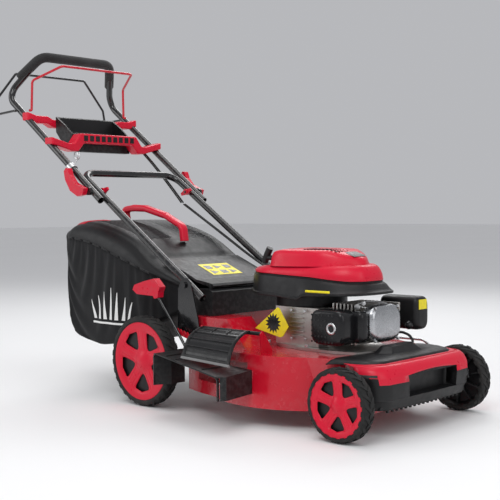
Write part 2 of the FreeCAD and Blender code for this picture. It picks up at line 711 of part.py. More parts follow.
engine_solid = join("engine_solid", flange, flange_front, crankcase, deck_neck)
part("engine_block", cut("engine_block_body", engine_solid, crank_bore, crank_room))

# Cylinder with cooling fins, facing forward.
fins = []
FINS = 7
for index in range(FINS):
    fin_x = 516.0 + index * 12.0
    fins.append(box("fin%d" % index, (fin_x, fin_x + 5.0), (-62.0, 66.0), (200.0, 304.0)))
cylinder_core = box("cylinder_core", (512.3, 604.0), (-44.0, 48.0), (212.0, 292.0))
part("cylinder_head", join("cylinder_head_all", cylinder_core, *fins))

valve_cover = loft("valve_cover_shell", "YZ", [
    (604.3, [(-62.0, 206.0), (62.0, 206.0), (66.0, 270.0), (40.0, 300.0), (-40.0, 303.0), (-66.0, 276.0)]),
    (636.0, [(-58.0, 209.0), (58.0, 209.0), (62.0, 268.0), (36.0, 297.0), (-36.0, 300.0), (-62.0, 273.0)]),
    (648.0, [(-46.0, 216.0), (46.0, 216.0), (50.0, 262.0), (30.0, 288.0), (-30.0, 290.0), (-50.0, 266.0)]),
])
part("valve_cover", valve_cover)

# Ignition lead: plug cap at the head, then a thick curved lead.
lead = rod("ignition_lead_run", [[
    (600.0, 84.0, 221.0), (628.0, 92.0, 222.0), (646.0, 96.0, 216.0), (664.0, 88.0, 203.0),
    (672.0, 66.0, 191.0), (660.0, 30.0, 191.0),
]], 26.0, 3.5)
part("ignition_lead", lead)

guard_outer = loft("guard_outer", "XZ", [
    (-151.0, [(508.0, 206.0), (606.0, 206.0), (606.0, 289.0), (508.0, 289.0)]),
    (-144.0, [(500.0, 200.0), (634.0, 200.0), (634.0, 295.0), (500.0, 295.0)]),
    (-74.0, [(500.0, 200.0), (640.0, 200.0), (640.0, 295.0), (500.0, 295.0)]),
])
guard_room = box("guard_room", (503.0, 631.0), (-142.0, -70.0), (203.0, 292.0))
guard_hole = cylinder("guard_hole", 11.0, 30.0, (581.0, -160.0, 249.0), "Y")
guard_shell = cut("guard_shell", guard_outer, guard_room, guard_hole)
muffler_can = box("muffler_can", (512.0, 622.0), (-134.0, -76.0), (208.0, 287.0))
muffler_ears = box("muffler_ears", (501.0, 633.0), (-100.0, -92.0), (240.0, 250.0))
muffler_pipe = cylinder("muffler_pipe", 9.5, 13.0, (581.0, -146.0, 249.0), "Y")
muffler_hole = cylinder("muffler_hole", 7.5, 40.0, (581.0, -148.0, 249.0), "Y")
muffler_neck = box("muffler_neck", (540.0, 580.0), (-78.0, -62.5), (230.0, 270.0))
part("muffler", join("muffler_with_guard", guard_shell, cut(
    "muffler_body", join("muffler_all", muffler_can, muffler_pipe, muffler_neck, muffler_ears),
    muffler_hole)))

carb = join("carburettor_all",
            box("carb_body", (548.0, 590.0), (66.5, 112.0), (240.0, 286.0)),
            cylinder("carb_bowl", 18.0, 26.0, (569.0, 90.0, 215.0), "Z"),
            cylinder("carb_rod", 4.0, 44.0, (580.0, 80.0, 292.0), "X"),
            box("carb_plate", (560.0, 630.0), (70.0, 78.0), (280.0, 302.0)))
part("carburettor", carb)

air_box = loft("air_box_body", "XZ", [
    (112.5, [(540.0, 236.0), (652.0, 236.0), (652.0, 312.0), (540.0, 312.0)]),
    (150.0, [(532.0, 226.0), (660.0, 226.0), (660.0, 316.0), (532.0, 316.0)]),
    (166.0, [(532.0, 226.0), (660.0, 226.0), (660.0, 316.0), (532.0, 316.0)]),
    (174.0, [(544.0, 238.0), (648.0, 238.0), (648.0, 306.0), (544.0, 306.0)]),
])
part("air_box", air_box)
part("primer_bulb", turned("primer_dome", "Y", [
    (96.0, 0.0), (99.0, 7.0), (106.0, 11.5), (112.2, 12.0), (112.2, 0.0),
], (636.0, 0.0, 240.0)))

# Blower shroud: black skirt under the red cover.
SHROUD_LOW = 318.0


def shroud_plan(inset):
    return mirrored([
        (186.0 + inset, -30.0), (214.0 + inset, -84.0 + inset), (300.0, -116.0 + inset),
        (470.0, -126.0 + inset), (600.0, -122.0 + inset), (644.0 - inset, -100.0 + inset),
        (660.0 - inset, -40.0),
    ])


shroud_outer = loft("shroud_outer", "XY", [
    (SHROUD_LOW, shroud_plan(0.0)), (350.0, shroud_plan(4.0)), (380.0, shroud_plan(13.0)),
])
shroud_inner = loft("shroud_inner", "XY", [
    (SHROUD_LOW - 1, shroud_plan(4.0)), (350.0, shroud_plan(8.0)), (381.0, shroud_plan(17.0)),
])
shroud_top = prism("shroud_trim_line", "XZ", [
    (160.0, 300.0), (160.0, 376.0), (329.0, 376.0), (470.0, 371.0), (577.0, 361.0), (680.0, 361.0),
    (680.0, 300.0),
], -200.0, 200.0)
shroud_wall = shared("shroud_trimmed", cut("shroud_ring", shroud_outer, shroud_inner), shroud_top)
shroud_floor = prism("shroud_floor", "XY", shroud_plan(3.0), SHROUD_LOW, SHROUD_LOW + 4)
shroud_stem = prism("shroud_stem", "XY", mirrored([(330.0, -70.0), (350.0, -86.0), (500.0, -86.0)]),
                    290.5, SHROUD_LOW + 2)
fan_gate = cylinder("shroud_fan_gate", 78.0, 60.0, (deck_x, 0.0, 285.0), "Z")
filler_neck = cylinder("shroud_filler", 17.0, 46.0, (292.0, 128.0, 326.0), "Z")
filler_bridge = box("shroud_filler_bridge", (280.0, 304.0), (100.0, 126.0), (326.0, 346.0))
filler_bore = cylinder("shroud_filler_bore", 13.0, 42.0, (292.0, 128.0, 334.0), "Z")
part("blower_shroud", cut("blower_shroud_body",
                          join("shroud_all", shroud_wall, shroud_floor, shroud_stem, filler_neck,
                               filler_bridge),
                          fan_gate, filler_bore))

part("fuel_cap", turned("fuel_cap_body", "Z", [
    (0.0, 372.3), (17.0, 372.3), (17.0, 362.0), (21.0, 362.0), (21.0, 380.0), (18.0, 384.0), (0.0, 384.0),
], (292.0, 128.0, 0.0)))

# Red engine cover: lower tier, inset upper tier, hollow inside.
tier_low = shared("tier_low",
                  loft("tier_low_plan", "XY", [
                      (355.0, shroud_plan(5.0)), (402.0, shroud_plan(22.0)),
                  ]),
                  prism("tier_low_side", "XZ", [
                      (172.0, 376.3), (172.0, 386.0), (240.0, 391.0), (330.0, 399.0), (600.0,
                                                                                       402.0), (640.0, 372.0),
                      (640.0, 361.3), (577.0, 361.3), (470.0, 371.3), (329.0, 376.3),
                  ], -200.0, 200.0))
UPPER_TIER = mirrored([
    (312.0, -62.0), (330.0, -92.0), (380.0, -98.0), (520.0, -98.0), (584.0, -86.0), (606.0, -40.0),
])
UPPER_TIER_IN = mirrored([
    (324.0, -56.0), (338.0, -84.0), (384.0, -92.0), (516.0, -92.0), (576.0, -78.0), (594.0, -36.0),
])
tier_high = shared("tier_high",
                   prism("tier_high_plan", "XY", UPPER_TIER, 392.0, 446.0),
                   prism("tier_high_side", "XZ", [
                       (312.0, 392.0), (316.0, 424.0), (332.0, 436.0), (360.0, 441.0), (500.0, 441.0),
                       (590.0, 412.0), (606.0, 400.0), (606.0, 392.0),
                   ], -120.0, 120.0))
cover_room = shared("cover_room",
                    prism("cover_room_plan", "XY", UPPER_TIER_IN, 340.0, 446.0),
                    prism("cover_room_side", "XZ", [
                        (322.0, 340.0), (322.0, 420.0), (336.0, 432.0), (362.0, 437.0), (498.0, 437.0),
                        (588.0, 406.0), (592.0, 396.0), (596.0, 340.0),
                    ], -118.0, 118.0))
part("engine_cover", cut("engine_cover_body", join("cover_tiers", tier_low, tier_high), cover_room,
                         box("cover_rope_gate", (300.0, 340.0), (-69.0, -51.0), (407.0, 425.0))))

part("warning_tag", prism("warning_tag_plate", "XZ", [
    (296.0, 228.0), (377.0, 289.0), (384.0, 287.0), (416.0, 240.0), (396.0, 213.0), (386.0, 210.0),
], -122.0, -120.5))

# ---------------------------------------------------------------- crankshaft group
crank_bar = cylinder("crank_bar", 12.5, 255.0, (deck_x, 0.0, 92.0), "Z")
crank_web = cylinder("crank_web", 34.0, 24.0, (deck_x, 0.0, 232.0), "Z")
blade_hub = cylinder("blade_hub", 28.0, 26.0, (deck_x, 0.0, 90.0), "Z")
blade_bolt = cylinder("blade_bolt", 12.0, 24.0, (deck_x, 0.0, 71.7), "Z")
blade_washer = cylinder("blade_washer", 21.0, 5.0, (deck_x, 0.0, 80.7), "Z")
drive_pulley = turned("drive_pulley", "Z", [
    (0.0, 148.0), (24.0, 148.0), (24.0, 151.0), (19.0, 155.0), (24.0, 159.0), (24.0, 162.0), (0.0, 162.0),
], (deck_x, 0.0, 0.0))
part("crankshaft", join("crankshaft_all", crank_bar, crank_web, blade_hub, blade_bolt,
                         blade_washer, drive_pulley))
part("flywheel", turned("flywheel_disc", "Z", [
    (12.55, 330.0), (70.0, 330.0), (88.0, 338.0), (88.0, 352.0), (70.0, 352.0), (66.0, 342.0),
    (30.0, 342.0), (26.0, 350.0), (12.55, 350.0),
], (deck_x, 0.0, 0.0)))
blade_flat = prism("blade_flat", "XY", [
    (deck_x - 30, -blade_r), (deck_x + 22, -blade_r), (deck_x + 28, -blade_r + 90),
    (deck_x + 28, blade_r - 8), (deck_x + 30, blade_r), (deck_x - 22, blade_r),
    (deck_x - 28, blade_r - 90), (deck_x - 28, -blade_r + 8),
], 86.0, 89.7)
blade_wing_r = prism("blade_wing_r", "YZ", [
    (-blade_r + 4, 88.0), (-blade_r + 70, 88.0), (-blade_r + 70, 92.0), (-blade_r + 4, 104.0),
], deck_x - 30, deck_x - 24)
blade_wing_l = prism("blade_wing_l", "YZ", [
    (blade_r - 4, 88.0), (blade_r - 70, 88.0), (blade_r - 70, 92.0), (blade_r - 4, 104.0),
], deck_x + 24, deck_x + 30)
part("blade", cut("blade_body", join("blade_all", blade_flat, blade_wing_r, blade_wing_l),
                  cylinder("blade_bore", 12.05, 40.0, (deck_x, 0.0, 70.0), "Z")))

# ---------------------------------------------------------------- starter
GRIP_X = 284.0
GRIP_Y = -60.0
GRIP_Z = 416.0
GRIP_STEM = 28.0
grip_bar = rod("grip_bar", [[
    (GRIP_X - 7, GRIP_Y, GRIP_Z - 11), (GRIP_X + 2, GRIP_Y, GRIP_Z + 8), (GRIP_X + 13, GRIP_Y, GRIP_Z + 27),
]], 60.0, 9.5)
grip_stem = cylinder("grip_stem", 7.0, GRIP_STEM, (GRIP_X + 3, GRIP_Y, GRIP_Z), "X")
part("starter_grip", join("starter_grip_all", grip_bar, grip_stem))
part("starter_rope", cylinder("starter_rope_run", 2.0, 40.0,
                              (GRIP_X + 3.2 + GRIP_STEM, GRIP_Y, GRIP_Z), "X"))

# ---------------------------------------------------------------- lower handle
LOWER_SLOPE = 0.6727
UPPER_SLOPE = 0.7227


def lower_z(x):
    return cam_z + (cam_x - x) * LOWER_SLOPE


def upper_z(x):
    return cam_z + (cam_x - x) * UPPER_SLOPE


FOOT_X = 165.0
TOP_X = -372.0
lower_path = [
    (FOOT_X, -lower_half, lower_z(FOOT_X)), (TOP_X, -lower_half, lower_z(TOP_X)),
    (TOP_X, lower_half, lower_z(TOP_X)), (FOOT_X, lower_half, lower_z(FOOT_X)),
]
lower_tube = rod("lower_tube", [lower_path], 46.0, (tube_r, tube_r - 1.5))
lower_bored = cut("lower_handle_body", lower_tube,
                  cylinder("lower_fold_bore", 4.05, 500.0, (fold_x, -250.0, fold_z), "Y"))
cam_bolts = []
for index, side in enumerate((-1, 1)):
    inner = lower_half - tube_r - 16
    reach = upper_half + tube_r + 6.5 - inner
    low = inner if side > 0 else -(upper_half + tube_r + 6.5)
    cam_bolts.append(cylinder("cam_bolt%d" % index, 4.0, reach, (cam_x, low, cam_z), "Y"))
part("lower_handle", join("lower_handle_all", lower_bored, *cam_bolts))


# ---------------------------------------------------------------- upper handle
UPPER_END_X = -246.0
BEND_X = -736.0
bend_z = upper_z(BEND_X)
GRIP_TOP_X = -642.0
GRIP_TOP_Z = 1061.0
GRIP_TOP_HALF = 143.0
upper_path = [
    (UPPER_END_X, -upper_half, upper_z(UPPER_END_X)), (BEND_X, -upper_half, bend_z),
    (GRIP_TOP_X, -GRIP_TOP_HALF, GRIP_TOP_Z), (GRIP_TOP_X, GRIP_TOP_HALF, GRIP_TOP_Z),
    (BEND_X, upper_half, bend_z), (UPPER_END_X, upper_half, upper_z(UPPER_END_X)),
]
upper_tube = rod("upper_tube", [upper_path], 46.0, (tube_r, tube_r - 1.5))
CAM_BLOCK_T = 7.0
cam_block_start = upper_half + tube_r - 2
cam_blocks = [
    cylinder("cam_block_right", 13.0, CAM_BLOCK_T + 2, (cam_x,
                                                        -(cam_block_start + CAM_BLOCK_T + 2), cam_z), "Y"),
    cylinder("cam_block_left", 13.0, CAM_BLOCK_T + 2, (cam_x, cam_block_start, cam_z), "Y"),
]
part("upper_handle", cut("upper_handle_body", join("upper_solid", upper_tube, *cam_blocks),
                         cylinder("upper_cam_bore", 4.05, 600.0, (cam_x, -300.0, cam_z), "Y")))

FOAM_START = 0.36


def between(a, b, share):
    return tuple(first + (second - first) * share for first, second in zip(a, b))


foam_low_right = between(upper_path[1], upper_path[2], FOAM_START)
foam_low_left = between(upper_path[4], upper_path[3], FOAM_START)
foam = rod("foam_sleeve", [[foam_low_right, upper_path[2], upper_path[3], foam_low_left]], 46.0,
           (16.0, tube_r + 0.02))
part("grip_foam", foam)

# Console: two red cross bars on the tubes with a black tray between.


side = upper_half + 13
upper_bar = prism("console_upper", "YZ", [
    (-side, 846.0), (-side + 30, 838.0), (-150.0, 838.0), (-128.0, 826.0), (128.0, 826.0), (150.0, 838.0),
    (side - 30, 838.0), (side, 846.0), (side, 872.0), (side - 34, 862.0), (150.0, 862.0), (128.0, 852.0),
    (-128.0, 852.0), (-150.0, 862.0), (-side + 34, 862.0), (-side, 872.0),
], -634.0, -600.0)
lower_bar = prism("console_lower", "YZ", [
    (-side, 762.0), (-150.0, 742.0), (-124.0, 742.0), (-100.0, 770.0), (100.0, 770.0), (124.0, 742.0),
    (150.0, 742.0), (side, 762.0), (side, 784.0), (160.0, 766.0), (140.0, 768.0), (116.0, 800.0),
    (-116.0, 800.0), (-140.0, 768.0), (-160.0, 766.0), (-side, 784.0),
], -512.0, -470.0)
tube_clear = rod("console_tube_clear", [
    [(UPPER_END_X, -upper_half, upper_z(UPPER_END_X)), (BEND_X, -upper_half, bend_z)],
    [(UPPER_END_X, upper_half, upper_z(UPPER_END_X)), (BEND_X, upper_half, bend_z)],
], 10.0, tube_r)
part("console_frame", cut("console_frame_body", join("console_bars", upper_bar, lower_bar), tube_clear))
tray_outer = prism("tray_outer", "XZ", [
    (-599.5, 862.0), (-599.5, 812.0), (-540.0, 744.0), (-512.5, 744.0), (-512.5, 800.0), (-552.0, 832.0),
], -120.0, 120.0)
tray_room = prism("tray_room", "XZ", [
    (-594.0, 880.0), (-594.0, 816.0), (-540.0, 752.0), (-518.0, 752.0), (-518.0, 860.0),
], -114.0, 114.0)
part("console_tray", cut("console_tray_body", tray_outer, tray_room))

GUIDE_X = -388.0
guide_band = rod("guide_band", [[
    (GUIDE_X + 8, -upper_half, upper_z(GUIDE_X + 8)), (GUIDE_X - 8, -upper_half, upper_z(GUIDE_X - 8)),
]], 10.0, (tube_r + 3.5, tube_r + 0.02))
ring_points = [
    (GUIDE_X + 7.0, -upper_half + 1, upper_z(GUIDE_X) + 10.5),
    (GUIDE_X + 8.0, -upper_half + 12, upper_z(GUIDE_X) + 22),
]
RING_R = 13.0
RING_STEPS = 9
for index in range(RING_STEPS):
    angle = math.radians(-60.0 + index * 60.0)
    ring_points.append((GUIDE_X - 4 + RING_R * math.cos(angle), -upper_half + 16 + index * 1.2,
                        upper_z(GUIDE_X) + 38 + RING_R * math.sin(angle)))
guide_loop = rod("guide_loop", [ring_points], 10.0, 2.0)
part("rope_guide", join("rope_guide_all", guide_band, guide_loop))

# ---------------------------------------------------------------- bails
drive_side = 193.0
drive_path = [
    (-630.0, -upper_half + 13, 880.0), (-630.0, -drive_side, 880.0), (-628.0, -190.0, 977.0),
    (-526.0, -145.0, 1018.0), (-526.0, 145.0, 1018.0), (-628.0, 190.0, 977.0),
    (-630.0, drive_side, 880.0), (-630.0, upper_half - 13, 880.0),
]
part("drive_bail", rod("drive_bail_rod", [drive_path], 14.0, bail_rod_r))
rear_line = -bail_reach + bail_rod_r
stop_path = [
    (-667.0, -upper_half - 13, 879.0), (-667.0, -upper_half - 20, 879.0), (-786.0, -232.0, 874.0),
    (rear_line, -228.0, 918.0), (rear_line, -144.0, 1020.0), (rear_line, 144.0, 1020.0),
    (rear_line, 228.0, 918.0), (-786.0, 232.0, 874.0), (-667.0, upper_half + 20, 879.0),
    (-667.0, upper_half + 13, 879.0),
]
part("stop_bail", rod("stop_bail_rod", [stop_path], 9.0, bail_rod_r))

# ---------------------------------------------------------------- cams and wing nuts


def cam_lever(name, side):
    """Curved red lever with its black block and the through bolt."""
    near = upper_half + tube_r + CAM_BLOCK_T + 1.8
    low, high = (near, near + 17) if side > 0 else (-near - 17, -near)
    blade = prism(name + "_blade", "XZ", [
        (cam_x - 84, cam_z + 72), (cam_x - 94, cam_z + 62), (cam_x - 88, cam_z + 36),
        (cam_x - 64, cam_z + 2), (cam_x - 28, cam_z - 16), (cam_x - 4, cam_z - 12),
        (cam_x + 4, cam_z + 8), (cam_x - 14, cam_z + 14), (cam_x - 44, cam_z + 26),
        (cam_x - 66, cam_z + 50), (cam_x - 74, cam_z + 70),
    ], low, high)
    return part(name, blade)


cam_lever("cam_lever_right", -1)
cam_lever("cam_lever_left", 1)


def wing_nut(name, side):
    """Wing nut on the inner end of the cam bolt."""
    inner = lower_half - tube_r - 1
    low, high = (inner - 12, inner) if side > 0 else (-inner, -inner + 12)
    hub = cylinder(name + "_hub", 10.0, 12.0, (cam_x, low, cam_z), "Y")
    wings = prism(name + "_wings", "XZ", [
        (cam_x - 20, cam_z - 12), (cam_x + 6, cam_z - 8), (cam_x + 24, cam_z + 4),
        (cam_x + 20, cam_z + 12), (cam_x - 4, cam_z + 8), (cam_x - 24, cam_z - 4),
    ], low + 2 if side > 0 else low + 4, high - 4 if side > 0 else high - 2)
    bore = cylinder(name + "_bore", 4.05, 40.0, (cam_x, low - 10, cam_z), "Y")
    return part(name, cut(name + "_body", join(name + "_all", hub, wings), bore))


wing_nut("wing_nut_right", -1)
wing_nut("wing_nut_left", 1)
# ---------------------------------------------------------------- cables
CABLE_R = 2.6


def along_upper(x, across, rise):
    return (x, across, upper_z(x) + rise)


def along_lower(x, across, rise):
    return (x, across, lower_z(x) + rise)


CABLES = 2
cable_lines = []
for index in range(CABLES):
    across = upper_half - 20 - index * 9
    cable_lines.append([
        (-640.0, across, 828.0), along_upper(-590.0, across, -27.0), along_upper(-440.0, across - 6, -27.0),
        along_upper(-300.0, across - 24, -44.0),
    ])
upper_runs = rod("cables_upper_run", cable_lines, 40.0, CABLE_R)
part("cables_upper", join("cables_upper_all", upper_runs, box(
    "cables_upper_clip", (-404.0, -392.0), (upper_half - 41, upper_half - 24),
    (upper_z(-398.0) - 42, upper_z(-398.0) - 26))))
cable_lines = []
for index in range(CABLES):
    across = lower_half - 21 - index * 6.5
    cable_lines.append([
        along_lower(-292.0, across, -44.0), along_lower(-140.0, across, -24.0),
        along_lower(60.0, across, -2.0), along_lower(176.0, across, 44.0),
        (230.0, across - 22, 356.0 - index * 7), (264.0, 107.0 + index * 7, 350.0 - index * 7),
    ])
lower_runs = rod("cables_lower_run", cable_lines, 40.0, CABLE_R)
part("cables_lower", join("cables_lower_all", lower_runs, box(
    "cables_lower_clip", (-112.0, -98.0), (lower_half - 32, lower_half - 17),
    (lower_z(-105.0) - 28, lower_z(-105.0) - 12))))

# ---------------------------------------------------------------- grass bag
BAG_T = 2.5
# (position, floor, rim, width ratio) from the rear panel to the mouth
BAG_STATIONS = [
    (-440.0, 168.0, 470.0, 0.96), (-405.0, 160.0, 470.0, 1.0), (-300.0, 138.0, 452.0, 1.0),
    (-150.0, 150.0, 406.0, 1.0), (-50.0, 214.0, 372.0, 0.97), (90.0, 228.0, 318.0, 0.76),
]


def bag_solid(name, inset, first, last):
    """The bag's envelope, inset by a thickness and shifted at both ends."""
    stations = []
    lift = 2.0 if inset else 0.0
    for index, (x, floor, rim, ratio) in enumerate(BAG_STATIONS):
        if index == 0:
            x += first
        if index == len(BAG_STATIONS) - 1:
            x += last
        half = bag_half * ratio - inset
        stations.append((x, [
            (-half + 12, floor + inset), (half - 12, floor + inset), (half, floor + 24 + inset),
            (half, rim + lift), (-half, rim + lift), (-half, floor + 24 + inset),
        ]))
    return loft(name, "YZ", stations)


bag_out = bag_solid("bag_out", 0.0, 0.0, 0.0)
bag_in = bag_solid("bag_in", BAG_T, BAG_T, 4.0)
part("bag_fabric", cut("bag_fabric_body", bag_out, bag_in))

# Lid: domed hard top with a rim band over the fabric's edge.
LID_STATIONS = [
    (-452.0, 471.0, 500.0, 0.94), (-405.0, 471.0, 519.0, 1.0), (-300.0, 453.0, 514.0, 1.0),
    (-150.0, 407.0, 470.0, 1.0), (-50.0, 373.0, 404.0, 0.97), (90.0, 319.0, 338.0, 0.76),
]


def lid_solid(name, inset):
    stations = []
    for index, (x, rim, crown, ratio) in enumerate(LID_STATIONS):
        if index == 0:
            x += inset
        if index == len(LID_STATIONS) - 1:
            x -= inset
        half = (bag_half + 2) * ratio - inset
        low = rim + 0.5 if inset == 0 else rim - 2
        top = crown - inset
        stations.append((x, [
            (-half, low), (half, low), (half, rim + (top - rim) * 0.35), (half - 22,
                                                                          top - (crown - rim) * 0.16),
            (half * 0.5, top), (-half * 0.5, top), (-half + 22, top - (crown - rim) * 0.16),
            (-half, rim + (top - rim) * 0.35),
        ]))
    return loft(name, "YZ", stations)


part("bag_lid", cut("bag_lid_body", lid_solid("lid_out", 0.0), lid_solid("lid_in", 3.5)))

handle_arch = prism("bag_handle_arch", "XZ", [
    (-409.0, 560.0), (-380.0, 567.0), (-300.0, 566.0), (-200.0, 546.0), (-100.0, 503.0),
    (-98.0, 437.5), (-128.0, 457.5), (-128.0, 494.0), (-200.0, 524.0), (-300.0, 544.0), (-366.0, 546.0),
    (-366.0, 518.8), (-386.0, 519.6),
], -15.0, 15.0)
part("bag_handle", handle_arch)

# Rear flap over the tunnel mouth, lying on the lid's front.
FLAP_HINGE_X = 160.0
FLAP_HINGE_Z = 337.0
flap_plate = prism("flap_plate", "XZ", [
    (FLAP_HINGE_X - 4, 333.5), (FLAP_HINGE_X + 8, 338.0), (FLAP_HINGE_X + 2, 344.0), (100.0, 353.0),
    (-34.0, 408.0), (-38.0, 402.5), (100.0, 346.0),
], -152.0, 152.0)
flap_barrel = cylinder("flap_barrel", 5.0, 304.0, (FLAP_HINGE_X, -152.0, FLAP_HINGE_Z + 1), "Y")
flap_bore = cylinder("flap_bore", 2.55, 330.0, (FLAP_HINGE_X, -165.0, FLAP_HINGE_Z + 1), "Y")
part("rear_flap", cut("rear_flap_body", join("flap_all", flap_plate, flap_barrel), flap_bore))
pin_lugs = []
for index, lug_y in enumerate((-158.0, 153.5)):
    pin_lugs.append(box("flap_lug%d" % index, (FLAP_HINGE_X - 5, FLAP_HINGE_X + 5), (lug_y, lug_y + 4.5),
                        (322.0, FLAP_HINGE_Z + 7)))
flap_pin = cylinder("flap_pin", 2.5, 316.0, (FLAP_HINGE_X, -158.0, FLAP_HINGE_Z + 1), "Y")
part("rear_housing", join("rear_housing_all", housing_shell, flap_pin, *pin_lugs))

# ---------------------------------------------------------------- drive belt
belt_z = 155.0
part("drive_belt", rod("drive_belt_run", [
    [(deck_x - 10, -23.0, belt_z), (PULLEY_X, -31.0, rear_r + 34.3)],
    [(deck_x - 10, 23.0, belt_z), (PULLEY_X, 31.0, rear_r + 34.3)],
], 10.0, 3.5))

# ---------------------------------------------------------------- build, check, export
doc.recompute()
os.makedirs("parts", exist_ok=True)
for old in os.listdir("parts"):
    os.remove(os.path.join("parts", old))
faults = []
for obj in doc.Objects:
    if "Invalid" in obj.State or "Error" in obj.State:
        faults.append("%s %s" % (obj.Name, obj.State))
for label, obj in PARTS:
    shape = obj.Shape
    if shape.isNull() or not shape.isValid() or not shape.Solids:
        faults.append("%s has no valid solid" % label)
        continue
    shape.exportStep(os.path.join("parts", label + ".step"))
print("parts", len(PARTS), "faults", faults)
if faults:
    raise RuntimeError("; ".join(faults))
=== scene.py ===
import json
import math

import bmesh
import bpy
from mathutils import Matrix, Vector, noise


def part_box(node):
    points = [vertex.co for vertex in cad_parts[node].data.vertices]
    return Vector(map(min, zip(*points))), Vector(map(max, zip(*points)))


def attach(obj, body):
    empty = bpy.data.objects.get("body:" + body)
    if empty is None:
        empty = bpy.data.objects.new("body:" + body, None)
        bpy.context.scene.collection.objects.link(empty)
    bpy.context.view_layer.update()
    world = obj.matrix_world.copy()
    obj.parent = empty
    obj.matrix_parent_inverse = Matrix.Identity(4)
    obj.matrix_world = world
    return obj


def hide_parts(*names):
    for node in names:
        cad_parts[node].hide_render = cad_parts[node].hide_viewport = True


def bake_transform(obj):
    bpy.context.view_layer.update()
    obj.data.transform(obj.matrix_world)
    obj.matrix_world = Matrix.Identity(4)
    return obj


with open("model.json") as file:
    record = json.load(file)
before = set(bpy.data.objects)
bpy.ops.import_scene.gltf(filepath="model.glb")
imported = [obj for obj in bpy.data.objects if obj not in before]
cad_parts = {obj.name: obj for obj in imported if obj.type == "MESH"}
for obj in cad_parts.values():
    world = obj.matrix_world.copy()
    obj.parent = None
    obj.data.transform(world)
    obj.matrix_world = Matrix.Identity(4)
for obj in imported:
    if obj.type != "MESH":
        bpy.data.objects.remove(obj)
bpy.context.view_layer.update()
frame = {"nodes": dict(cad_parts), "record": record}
NODES = frame["nodes"]
MM = 0.001

# The drawing below is in millimetres, with x = 0 over the rear axle and y = 0 between the wheels.
SHIFT_X = 5.1
SHIFT_Y = 59.5


def at(x, y, z):
    return Vector(((x + SHIFT_X) * MM, (y + SHIFT_Y) * MM, z * MM))


# ---------------------------------------------------------------- materials

class Nodes:
    """A small wrapper that builds one material's node tree."""

    def __init__(self, name):
        self.material = bpy.data.materials.new(name)
        self.material.use_nodes = True
        self.tree = self.material.node_tree
        self.shader = self.tree.nodes["Principled BSDF"]
        self.coords = self.tree.nodes.new("ShaderNodeTexCoord").outputs["Object"]

    def node(self, kind, **values):
        made = self.tree.nodes.new(kind)
        for key, value in values.items():
            setattr(made, key, value)
        return made

    def link(self, a, b):
        self.tree.links.new(a, b)

    def noise(self, scale, detail=4.0, rough=0.55, stretch=None):
        made = self.node("ShaderNodeTexNoise")
        made.inputs["Scale"].default_value = scale
        made.inputs["Detail"].default_value = detail
        made.inputs["Roughness"].default_value = rough
        self.link(self.stretched(stretch), made.inputs["Vector"])
        return made.outputs["Fac"]

    def stretched(self, stretch):
        if not stretch:
            return self.coords
        mapping = self.node("ShaderNodeMapping")
        mapping.inputs["Scale"].default_value = stretch
        self.link(self.coords, mapping.inputs["Vector"])
        return mapping.outputs["Vector"]

    def range(self, source, low, high, out_low=0.0, out_high=1.0):
        made = self.node("ShaderNodeMapRange")
        for key, value in (("From Min", low), ("From Max", high), ("To Min", out_low),
                           ("To Max", out_high)):
            made.inputs[key].default_value = value
        self.link(source, made.inputs["Value"])
        return made.outputs["Result"]

    def maths(self, operation, a, b):
        made = self.node("ShaderNodeMath", operation=operation)
        for socket, value in zip(made.inputs, (a, b)):
            if isinstance(value, (int, float)):
                socket.default_value = value
            else:
                self.link(value, socket)
        return made.outputs[0]

    def mix(self, fac, a, b):
        made = self.node("ShaderNodeMix", data_type="RGBA")
        if isinstance(fac, (int, float)):
            made.inputs["Factor"].default_value = fac
        else:
            self.link(fac, made.inputs["Factor"])
        for key, value in ((6, a), (7, b)):
            if isinstance(value, tuple):
                made.inputs[key].default_value = (*value, 1)
            else:
                self.link(value, made.inputs[key])
        return made.outputs[2]

    def bump(self, height, strength, distance=0.001, under=None):
        made = self.node("ShaderNodeBump")
        made.inputs["Strength"].default_value = strength
        made.inputs["Distance"].default_value = distance
        self.link(height, made.inputs["Height"])
        if under is not None:
            self.link(under, made.inputs["Normal"])
        return made.outputs["Normal"]

    def set(self, **values):
        for key, value in values.items():
            socket = self.shader.inputs[key.replace("_", " ")]
            if hasattr(value, "is_output"):
                self.link(value, socket)
            else:
                socket.default_value = value


def edge_wear(n):
    """Bright where an edge sticks out, for scuffed paint and plastic."""
    point = n.node("ShaderNodeNewGeometry").outputs["Pointiness"]
    worn = n.range(point, 0.52, 0.62)
    return n.maths("MULTIPLY", worn, n.range(n.noise(90.0), 0.45, 0.6))


def enamel(name, colour, darker, rough=0.2, dust=0.03):
    n = Nodes(name)
    base = n.mix(n.range(n.noise(6.0), 0.3, 0.7), darker, colour)
    low = n.range(n.noise(28.0, 6.0), 0.5, 0.78, 0.0, dust)
    base = n.mix(low, base, (0.28, 0.24, 0.2))
    base = n.mix(n.maths("MULTIPLY", edge_wear(n), 0.12), base, (0.45, 0.4, 0.38))
    n.set(Base_Color=base, Roughness=n.range(n.noise(45.0), 0.3, 0.7, rough - 0.05, rough + 0.1),
          Normal=n.bump(n.noise(260.0, 2.0), 0.05, 0.0004), Coat_Weight=0.3, Coat_Roughness=0.06)
    return n.material


